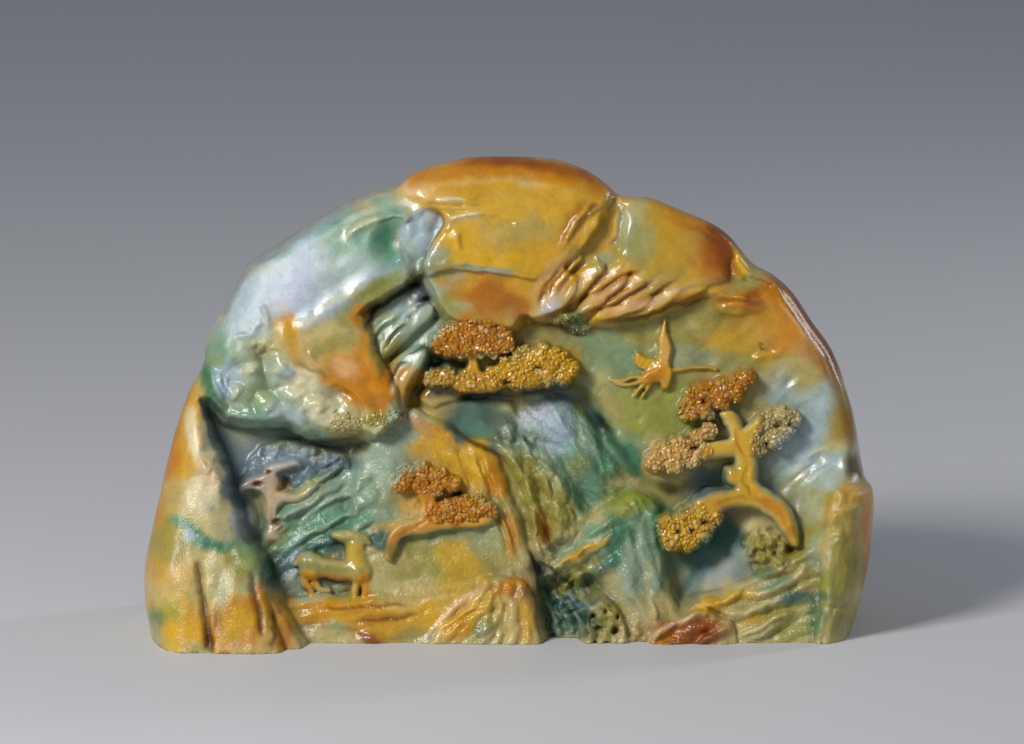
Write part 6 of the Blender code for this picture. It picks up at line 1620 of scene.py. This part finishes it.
grid_x = np.arange(-WIDTH / 2 - 3, WIDTH / 2 + 3, STONE_CELL)
grid_y = np.arange(-FACE_PROUD - BUTTRESS_PROUD - 6, BACK_PROUD + 8, STONE_CELL)
grid_z = np.arange(-2.0, TALL + 3, STONE_CELL)
y, z = np.meshgrid(grid_y, grid_z, indexing="ij")
sheet_v, towards = z * COS + y * SIN, (z * SIN - y * COS).astype(np.float32)
field = towards[None] - column(front_height, face, sheet_v)
field *= column(steepness(front_height, face.cell), face, sheet_v)
edge = column(rim, face, grid_z * COS)
thickness = column(back_height, rear, grid_z) * swell(edge, BACK_ROUND)
behind = (grid_y.astype(np.float32)[None, :, None] - thickness[:, None, :])
behind *= steepness(thickness, STONE_CELL)[:, None, :].astype(np.float32)
field = soft_max(np.maximum(field, behind), -column(rim, face, sheet_v), RIM_BLEND).astype(np.float32)
volume = openvdb.FloatGrid(4 * STONE_CELL)
volume.copyFromArray(np.ascontiguousarray(np.clip(field, -3 * STONE_CELL, 3 * STONE_CELL)))
points, quads = volume.convertToQuads()
points = points * STONE_CELL + np.array([grid_x[0], grid_y[0], grid_z[0]])
rough = bpy.data.meshes.new("rough_stone")
rough.vertices.add(len(points))
rough.vertices.foreach_set("co", (points * MM).astype(np.float32).ravel())
rough.loops.add(4 * len(quads))
rough.loops.foreach_set("vertex_index", quads.astype(np.int32).ravel())
rough.polygons.add(len(quads))
rough.polygons.foreach_set("loop_start", np.arange(0, 4 * len(quads), 4, dtype=np.int32))
rough.update(calc_edges=True)
del field, behind, y, z
print("skin of", len(quads), "quads")

# %% [markdown]
# ## Thinning and sawing the foot
#
# The even skin has far more faces than its flat parts need. Decimate takes them away where the surface
# hardly bends and leaves them on the fine carving. Then the foot is sawn flat, as on the real block, and
# any crumb that came loose is removed.

# %% Thin the skin and saw its foot


def thinned(mesh, triangles):
    """The mesh with about this many triangles."""
    holder = bpy.data.objects.new("rough_stone", mesh)
    bpy.context.scene.collection.objects.link(holder)
    thin = holder.modifiers.new("Thin", "DECIMATE")
    thin.ratio = triangles / (2 * len(mesh.polygons))
    graph = bpy.context.evaluated_depsgraph_get()
    result = bpy.data.meshes.new_from_object(holder.evaluated_get(graph))
    bpy.data.objects.remove(holder)
    return result


def loose_crumbs(bm):
    """The vertices of every body but the largest."""
    left, bodies = set(bm.verts), []
    while left:
        body, front = set(), [left.pop()]
        while front:
            vert = front.pop()
            body.add(vert)
            for other in [edge.other_vert(vert) for edge in vert.link_edges]:
                if other in left:
                    left.discard(other)
                    front.append(other)
        bodies.append(body)
    bodies.sort(key=len, reverse=True)
    return [vert for body in bodies[1:] for vert in body]


def saw_foot(mesh):
    """Cuts the foot off flat at z = 0, closes it, and centres the block as the CAD model is."""
    bm = bmesh.new()
    bm.from_mesh(mesh)
    bmesh.ops.delete(bm, geom=loose_crumbs(bm), context="VERTS")
    everything = bm.verts[:] + bm.edges[:] + bm.faces[:]
    cut = bmesh.ops.bisect_plane(
        bm, geom=everything, dist=1e-7, plane_co=(0, 0, 0), plane_no=(0, 0, 1), clear_inner=True
    )
    bmesh.ops.holes_fill(bm, edges=[e for e in cut["geom_cut"] if isinstance(e, bmesh.types.BMEdge)])
    corners = np.array([v.co for v in bm.verts])
    shift = (np.array(cad_low) + np.array(cad_high) - corners.min(0) - corners.max(0)) / 2
    bmesh.ops.translate(bm, verts=bm.verts, vec=(shift[0], shift[1], 0.0))
    bmesh.ops.recalc_face_normals(bm, faces=bm.faces)
    bmesh.ops.triangulate(bm, faces=bm.faces)
    bm.normal_update()
    for f in bm.faces:
        f.smooth = f.normal.z > -0.999 or f.calc_center_median().z > 1e-6
    bm.to_mesh(mesh)
    bm.free()
    return shift / MM


stone_mesh = thinned(rough, STONE_TRIANGLES)
stone_mesh.name = "jade_mountain"
shift = saw_foot(stone_mesh)
print("stone:", len(stone_mesh.polygons), "triangles, moved", np.round(shift, 2), "mm")

# %% [markdown]
# ## Bringing the colour onto the skin
#
# Each vertex of the skin looks its colour up on the front sheet or the back sheet, and behind the rim it
# takes some of both. A sheet seen edge on would stretch its colours into bands over the sides, so there the
# look-up wanders, and the seam between the two sheets is ragged. Hollows get painted shade, a darker
# colour. To find them, the height is compared with its own blurred copy.

# %% Colour the vertices
# Painted shade: how much darker each hollow is painted, from how deep it lies under its surroundings.
hollow_fine = blurred(front_height, 1.6 / face.cell) - front_height
hollow_wide = blurred(front_height, 5.0 / face.cell) - front_height
face.hollow = np.clip(hollow_fine / 1.6, 0, 1) * 0.6 + np.clip(hollow_wide / 4.0, 0, 1) * 0.6


def colour_points(mesh):
    """Gives a mesh its stone colour, its finish masks and the hollow mask for painted shade, from the sheets.
    """
    co = np.empty(3 * len(mesh.vertices), np.float32)
    mesh.vertices.foreach_get("co", co)
    x, y, z = (co.reshape(-1, 3) / MM - shift).T
    v = z * COS + y * SIN
    ragged = 30.0 * (clouds(x + 0.5 * y, z - 0.4 * y, 15.0, 41, 4) - 0.5)
    to_back = ease((y + ragged - 15.0) / 8.0)
    beside = ease((y + 4.0) / 12.0)
    across = x * (1 - 0.07 * beside) + 26 * beside * (clouds(y, x + z, 15.0, 42, 3) - 0.5)
    up = 26 * beside * (clouds(y + 90, z - x, 15.0, 43, 3) - 0.5) - 4 * beside
    colour = face.read(face.tint, across, v + up) * (1 - to_back)[:, None]
    colour += rear.read(rear.tint, across, z + up) * to_back[:, None]
    rgba = np.concatenate([colour, np.ones((len(x), 1))], axis=1).astype(np.float32)
    layer = mesh.color_attributes.new("stone_colour", "FLOAT_COLOR", "POINT")
    layer.data.foreach_set("color", rgba.ravel())
    # The hollow mask carries the painted shade of the hollows.
    for name, table in (("hollow", face.hollow), ("matte", face.matte), ("tooled", face.tooled),
                        ("needles", face.needles), ("grains", face.grains)):
        values = (face.read(table, x, v) * (1 - beside)).astype(np.float32)
        mesh.attributes.new(name, "FLOAT", "POINT").data.foreach_set("value", values)


colour_points(stone_mesh)
print("attributes:", [a.name for a in stone_mesh.attributes if not a.is_internal][:8])

# %% [markdown]
# ## Materials as expressions
#
# A material is a small sum: so much of this noise, less that mask. Writing it as a Python expression is
# easier to read than placing nodes one by one. The class below wraps a socket, so that the usual operators
# add Math nodes. One more method adds any other node.

# %% A wrapper for sockets


class Wire:
    """A node's output that Python's operators work on."""

    def __init__(self, tree, socket):
        self.tree, self.socket = tree, socket

    def sum(self, operation, other, flipped=False):
        node = self.tree.nodes.new("ShaderNodeMath")
        node.operation = operation
        pair = (other, self) if flipped else (self, other)
        for value, socket in zip(pair, node.inputs):
            plug(self.tree, value, socket)
        return Wire(self.tree, node.outputs[0])

    def __add__(self, other):
        return self.sum("ADD", other)

    def __sub__(self, other):
        return self.sum("SUBTRACT", other)

    def __rsub__(self, other):
        return self.sum("SUBTRACT", other, flipped=True)

    def __mul__(self, other):
        return self.sum("MULTIPLY", other)

    def __truediv__(self, other):
        return self.sum("DIVIDE", other)

    def __rtruediv__(self, other):
        return self.sum("DIVIDE", other, flipped=True)

    def __pow__(self, other):
        return self.sum("POWER", other)

    def __abs__(self):
        return self.sum("ABSOLUTE", 0.0)

    __radd__ = __add__
    __rmul__ = __mul__

    def clamped(self):
        return self.sum("MAXIMUM", 0.0).sum("MINIMUM", 1.0)


def plug(tree, value, socket):
    if isinstance(value, Wire):
        tree.links.new(value.socket, socket)
    else:
        socket.default_value = value


class Finish:
    """A material under construction."""

    def __init__(self, name):
        self.material = bpy.data.materials.new(name)
        self.material.use_nodes = True
        self.tree = self.material.node_tree
        self.shader = self.tree.nodes["Principled BSDF"]

    def add(self, kind, settings=(), sockets=(), output=0):
        """Adds a node: its settings first, then the values or links of its sockets."""
        node = self.tree.nodes.new(kind)
        for name, value in dict(settings).items():
            setattr(node, name, value)
        for name, value in dict(sockets).items():
            plug(self.tree, value, node.inputs[name])
        return Wire(self.tree, node.outputs[output])

    def attribute(self, name, output="Fac"):
        return self.add("ShaderNodeAttribute", {"attribute_name": name}, output=output)

    def noise(self, where, per_metre, detail=3.0, rough=0.5):
        sockets = {"Vector": where, "Scale": per_metre, "Detail": detail, "Roughness": rough}
        return self.add("ShaderNodeTexNoise", sockets=sockets, output="Fac")

    def blend(self, amount, first, second, kind="MIX"):
        """One colour laid over another."""
        sockets = {0: amount, 6: first, 7: second}
        settings = {"data_type": "RGBA", "blend_type": kind}
        return self.add("ShaderNodeMix", settings, sockets, output=2)

    def feed(self, **inputs):
        for name, value in inputs.items():
            plug(self.tree, value, self.shader.inputs[name.replace("_", " ")])


def opaque(colour, brightness=1.0):
    return (*(np.array(colour) * brightness), 1.0)


print("wires ready")

# %% [markdown]
# ## The polished jade
#
# Jadeite is a felt of tiny crystals, so it is cloudy rather than clear: light goes a few millimetres in and
# comes out again nearby. Subsurface scattering does that. On top lies a hard, glassy polish with a high
# index of refraction. The colour comes from the vertices. Noises of several sizes mottle it, from drifting
# clouds down to crystal flecks. Thin creases follow the marks of the tool, and the colour is painted darker
# in them, in the hollows and under the pine tufts, as painted shade. The polish breaks in the hollows and
# on the skin that was left matte, where roughness goes up.

# %% Make the jade


def jade(name, grain=1.0, tufted=False):
    finish = Finish(name)
    where = finish.add("ShaderNodeTexCoord", output="Object")
    stone = finish.attribute("stone_colour", "Color")
    hollow, matte, tooled, needles = (finish.attribute(n) for n in ("hollow", "matte", "tooled", "needles"))
    drift = finish.noise(where, 130.0, 6.0, 0.65)
    vein = finish.noise(where, 70.0, 8.0, 0.7)
    mottle = finish.noise(where, 320.0, 5.0, 0.7)
    fleck = finish.noise(where, 800.0, 4.0, 0.65)
    fine = finish.noise(where, 2600.0, 2.0, 0.5)
    crease = tooled * (1.0 - (abs(finish.noise(where, 420.0, 3.0, 0.6) - 0.5) * 9.0)).clamped()
    pale = ((drift - 0.52) * 4.0).clamped() * 0.2 + ((fleck - 0.54) * 5.0).clamped() * 0.14
    deep = ((0.49 - drift) * 4.0).clamped() * 0.42 + ((0.46 - fleck) * 5.0).clamped() * 0.26
    colour = finish.blend((pale * 2.0).clamped(), stone, (1.4, 1.36, 1.25, 1.0), "MULTIPLY")
    colour = finish.blend(((vein - 0.5) * 5.0).clamped() * 0.22, colour, opaque(JADE["olive"]))
    colour = finish.blend(deep, colour, (0.55, 0.52, 0.38, 1.0), "MULTIPLY")
    colour = finish.blend(((mottle - 0.5) * 4.0).clamped() * 0.3, colour, (1.3, 1.24, 1.1, 1.0), "MULTIPLY")
    colour = finish.blend(((0.5 - mottle) * 4.0).clamped() * 0.4, colour, (0.7, 0.74, 0.62, 1.0), "MULTIPLY")
    # Painted shade: the tool-mark creases are darkened.
    colour = finish.blend(crease * 0.3, colour, (0.5, 0.46, 0.34, 1.0), "MULTIPLY")
    # Painted shade: the hollows are darkened.
    colour = finish.blend((hollow * 0.42).clamped(), colour, (0.2, 0.22, 0.17, 1.0), "MULTIPLY")
    # Painted shade: the stone under the tufts is darkened to brown, as in the gaps between them.
    if not tufted:
        colour = finish.blend(needles * 0.6, colour, (0.6, 0.46, 0.26, 1.0), "MULTIPLY")
    if tufted:
        shade = finish.attribute("tuft_shade")
        colour = finish.blend(((shade - 0.8) * 5.0).clamped() * 0.3, colour, opaque(JADE["cream"]))
        colour = finish.blend(((0.6 - shade) * 2.0).clamped() * 0.4, colour, (0.7, 0.56, 0.36, 1.0),
                              "MULTIPLY")
    rough = 0.12 + fleck * 0.15 + hollow * 0.2 + matte * 0.35 + drift * 0.06
    relief = fleck * (0.5 + tooled) + fine * 0.4 + drift * 0.6 + matte * fine * 2.0 - crease * 1.6
    bump = finish.add("ShaderNodeBump", sockets={"Height": relief, "Strength": 0.45 * grain,
                                                 "Distance": 0.00018}, output="Normal")
    finish.feed(Base_Color=colour, Roughness=rough.clamped(), Normal=bump, Metallic=0.0, IOR=1.55,
                Specular_IOR_Level=0.42, Subsurface_Weight=0.12, Subsurface_Scale=0.0015,
                Subsurface_Radius=(1.0, 0.9, 0.6))
    return finish.material


polished_jade = jade("polished_jade")
stone_mesh.materials.clear()
stone_mesh.materials.append(polished_jade)
mountain = bpy.data.objects.new("jade_mountain", stone_mesh)
bpy.context.scene.collection.objects.link(mountain)
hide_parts("jade_boulder")
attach(mountain, "root")
print("mountain in", polished_jade.name)

# %% [markdown]
# ## Pine needles as tufts
#
# On the stone each pine cloud is cut into hundreds of small tufts, rough knobs with a few flat faces. One
# tuft is modelled here, and Geometry Nodes set it all over the clouds: points are scattered at an even
# distance where the mask says so, each gets a tuft turned at random, and Realize Instances makes them one
# mesh. A plain mesh comes out at the end, coloured from the same sheet.

# %% Model one tuft


def tuft_mesh(corners=7, seed=4):
    """A rough little knob, about one unit in radius, with flat chips for faces."""
    chance = np.random.default_rng(seed)
    verts, faces = [(0.1, -0.1, 0.62)], []
    for radius, height in ((0.52, 0.46), (0.95, 0.06), (0.75, -0.6)):
        for k in range(corners):
            a, r = 2 * math.pi * (k + 0.5 * (radius > 0.9)) / corners, radius * chance.uniform(0.75, 1.2)
            verts.append((r * math.cos(a), r * math.sin(a), height + chance.uniform(-0.12, 0.12)))
    verts.append((0, 0, -0.7))
    for k in range(corners):
        m = (k + 1) % corners
        faces.append((0, 1 + k, 1 + m))
        for a in (1, 1 + corners):
            faces += [(a + k, a + corners + k, a + m), (a + m, a + corners + k, a + corners + m)]
        faces.append((1 + 2 * corners + k, len(verts) - 1, 1 + 2 * corners + m))
    mesh = bpy.data.meshes.new("tuft")
    mesh.from_pydata(verts, [], faces)
    return mesh


tuft = bpy.data.objects.new("tuft", tuft_mesh())
print("one tuft has", len(tuft.data.polygons), "faces")

# %% Set the tufts with Geometry Nodes


def tuft_tree():
    """A tree that covers a masked part of a surface with tufts."""
    tree = bpy.data.node_groups.new("cover_with_tufts", "GeometryNodeTree")
    for name, kind in (("Stone", "NodeSocketGeometry"), ("Where", "NodeSocketString"), ("Spacing",
                                                                                        "NodeSocketFloat"),
                       ("Radius", "NodeSocketFloat"), ("Tuft", "NodeSocketObject"), ("Seed",
                                                                                     "NodeSocketInt"),
                       ("Finish", "NodeSocketMaterial")):
        tree.interface.new_socket(name, in_out="INPUT", socket_type=kind)
    tree.interface.new_socket("Tufts", in_out="OUTPUT", socket_type="NodeSocketGeometry")
    new, link = tree.nodes.new, tree.links.new
    given, made = new("NodeGroupInput"), new("NodeGroupOutput")
    mask = new("GeometryNodeInputNamedAttribute")
    mask.data_type = "FLOAT"
    link(given.outputs["Where"], mask.inputs["Name"])
    scatter = new("GeometryNodeDistributePointsOnFaces")
    scatter.distribute_method = "POISSON"
    scatter.inputs["Density Max"].default_value = 4e6
    link(given.outputs["Stone"], scatter.inputs["Mesh"])
    link(given.outputs["Spacing"], scatter.inputs["Distance Min"])
    link(given.outputs["Seed"], scatter.inputs["Seed"])
    chosen = new("FunctionNodeCompare")
    chosen.data_type, chosen.operation = "FLOAT", "GREATER_THAN"
    chosen.inputs["B"].default_value = 0.5
    link(mask.outputs["Attribute"], chosen.inputs["A"])
    link(chosen.outputs["Result"], scatter.inputs["Selection"])
    shape = new("GeometryNodeObjectInfo")
    link(given.outputs["Tuft"], shape.inputs["Object"])
    size = new("FunctionNodeRandomValue")
    size.data_type = "FLOAT_VECTOR"
    size.inputs[0].default_value, size.inputs[1].default_value = (0.5, 0.5, 0.6), (1.6, 1.3, 1.2)
    link(given.outputs["Seed"], size.inputs["Seed"])
    scale = new("ShaderNodeVectorMath")
    scale.operation = "SCALE"
    link(size.outputs[0], scale.inputs[0])
    link(given.outputs["Radius"], scale.inputs["Scale"])
    lean = new("FunctionNodeRandomValue")
    lean.data_type = "FLOAT_VECTOR"
    lean.inputs[0].default_value, lean.inputs[1].default_value = (-0.6, -0.6, -3.14), (0.6, 0.6, 3.14)
    lean.inputs["Seed"].default_value = 9
    tilted = new("FunctionNodeRotateRotation")
    tilted.rotation_space = "LOCAL"
    place = new("GeometryNodeInstanceOnPoints")
    link(scatter.outputs["Points"], place.inputs["Points"])
    link(shape.outputs["Geometry"], place.inputs["Instance"])
    link(scatter.outputs["Rotation"], tilted.inputs["Rotation"])
    link(lean.outputs[0], tilted.inputs["Rotate By"])
    link(tilted.outputs["Rotation"], place.inputs["Rotation"])
    link(scale.outputs["Vector"], place.inputs["Scale"])
    shade = new("FunctionNodeRandomValue")
    shade.data_type = "FLOAT"
    shade.inputs["Seed"].default_value = 5
    keep = new("GeometryNodeStoreNamedAttribute")
    keep.data_type, keep.domain = "FLOAT", "INSTANCE"
    keep.inputs["Name"].default_value = "tuft_shade"
    link(place.outputs["Instances"], keep.inputs["Geometry"])
    link(shade.outputs[1], keep.inputs["Value"])
    real = new("GeometryNodeRealizeInstances")
    link(keep.outputs["Geometry"], real.inputs["Geometry"])
    paint = new("GeometryNodeSetMaterial")
    link(real.outputs["Geometry"], paint.inputs["Geometry"])
    link(given.outputs["Finish"], paint.inputs["Material"])
    link(paint.outputs["Geometry"], made.inputs["Tufts"])
    return tree


def cover(name, where, spacing, radius, seed, finish):
    """Runs the tree on the mountain and keeps the tufts as a plain mesh."""
    holder = bpy.data.objects.new(name, stone_mesh)
    bpy.context.scene.collection.objects.link(holder)
    setter = holder.modifiers.new("Tufts", "NODES")
    setter.node_group = tuft_group
    values = {"Where": where, "Spacing": spacing, "Radius": radius, "Tuft": tuft, "Seed": seed,
              "Finish": finish}
    for item in tuft_group.interface.items_tree:
        if item.in_out == "INPUT" and item.name in values:
            setter[item.identifier] = values[item.name]
    graph = bpy.context.evaluated_depsgraph_get()
    mesh = bpy.data.meshes.new_from_object(holder.evaluated_get(graph))
    holder.modifiers.clear()
    for layer in ("stone_colour", "hollow", "matte", "tooled", "needles", "grains"):
        if layer in mesh.attributes:
            mesh.attributes.remove(mesh.attributes[layer])
    colour_points(mesh)
    holder.data = mesh
    mesh.name = name
    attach(holder, "root")
    print(name, "has", len(mesh.polygons), "faces")
    return holder


tuft_group = tuft_tree()
pine_jade = jade("pine_jade", grain=1.5, tufted=True)
cover("pine_tufts", "needles", 1.15 * MM, 0.85 * MM, 3, pine_jade)
cover("moss_grains", "grains", 1.0 * MM, 0.75 * MM, 4, pine_jade)
bpy.data.objects.remove(tuft)

# %% [markdown]
# ## Floor, light and camera
#
# The stone is set on a plain pale floor. One large soft light at the upper left gives the long highlights
# of the polish, a narrow one behind at the right draws the thin bright line on that rim, and a weak one
# fills the shadows. The camera stands ten degrees above level with a long lens, as a catalogue photo is
# taken, and looks at the middle of the picture on the block's central plane.

# %% Floor
floor_mesh = bpy.data.meshes.new("floor")
floor_mesh.from_pydata([(-8, -8, 0), (8, -8, 0), (8, 8, 0), (-8, 8, 0)], [], [(0, 1, 2, 3)])
floor = bpy.data.objects.new("floor", floor_mesh)
bpy.context.scene.collection.objects.link(floor)
matt = Finish("pale_floor")
spot = matt.noise(matt.add("ShaderNodeTexCoord", output="Object"), 40.0, 4.0)
matt.feed(Base_Color=matt.blend(spot * 0.1, (0.60, 0.61, 0.64, 1), (0.52, 0.53, 0.57, 1)), Roughness=0.6)
floor_mesh.materials.append(matt.material)
print("floor laid")

# %% Lights and sky


def softbox(name, place, aim, width, height, watts, colour=(1.0, 1.0, 1.0)):
    data = bpy.data.lights.new(name, "AREA")
    data.shape, data.size, data.size_y = "RECTANGLE", width, height
    data.energy, data.color = watts, colour
    lamp = bpy.data.objects.new(name, data)
    lamp.location = place
    lamp.rotation_euler = (Vector(aim) - Vector(place)).to_track_quat("-Z", "Y").to_euler()
    bpy.context.scene.collection.objects.link(lamp)
    return lamp


softbox("key_light", (-0.75, -0.85, 0.85), (0, 0, 0.06), 0.36, 0.36, 17.0, (1.0, 0.98, 0.95))
softbox("rim_light", (0.9, 0.55, 0.5), (0, 0, 0.08), 0.1, 0.6, 2.4)
softbox("fill_light", (0.5, -1.6, 0.4), (0, 0, 0.06), 1.2, 0.8, 0.9, (0.92, 0.96, 1.0))
world = bpy.data.worlds.new("studio")
world.use_nodes = True
world.node_tree.nodes["Background"].inputs["Color"].default_value = (0.75, 0.8, 0.9, 1)
world.node_tree.nodes["Background"].inputs["Strength"].default_value = 0.23
bpy.context.scene.world = world
print("three lights")

# %% Camera
PICTURE_WIDE = 1024
MIDDLE_U, MIDDLE_V = 0.96, 79.1
PIXELS_PER_MM = 3.13
DISTANCE = 2.4
data = bpy.data.cameras.new("view")
data.sensor_width = 36.0
data.lens = data.sensor_width * DISTANCE * 1000 * PIXELS_PER_MM / PICTURE_WIDE
data.clip_end = 50.0
camera = bpy.data.objects.new("view", data)
aim = Vector((MIDDLE_U, MIDDLE_V * SIN, MIDDLE_V * COS)) * MM + Vector((0, shift[1] * MM, 0))
camera.location = aim + DISTANCE * Vector((0, -COS, SIN))
camera.rotation_euler = (math.pi / 2 - SIGHT, 0, 0)
bpy.context.scene.collection.objects.link(camera)
bpy.context.scene.camera = camera
bpy.context.scene.view_settings.view_transform = "Standard"
print("lens", round(data.lens, 1), "mm at", DISTANCE, "m")
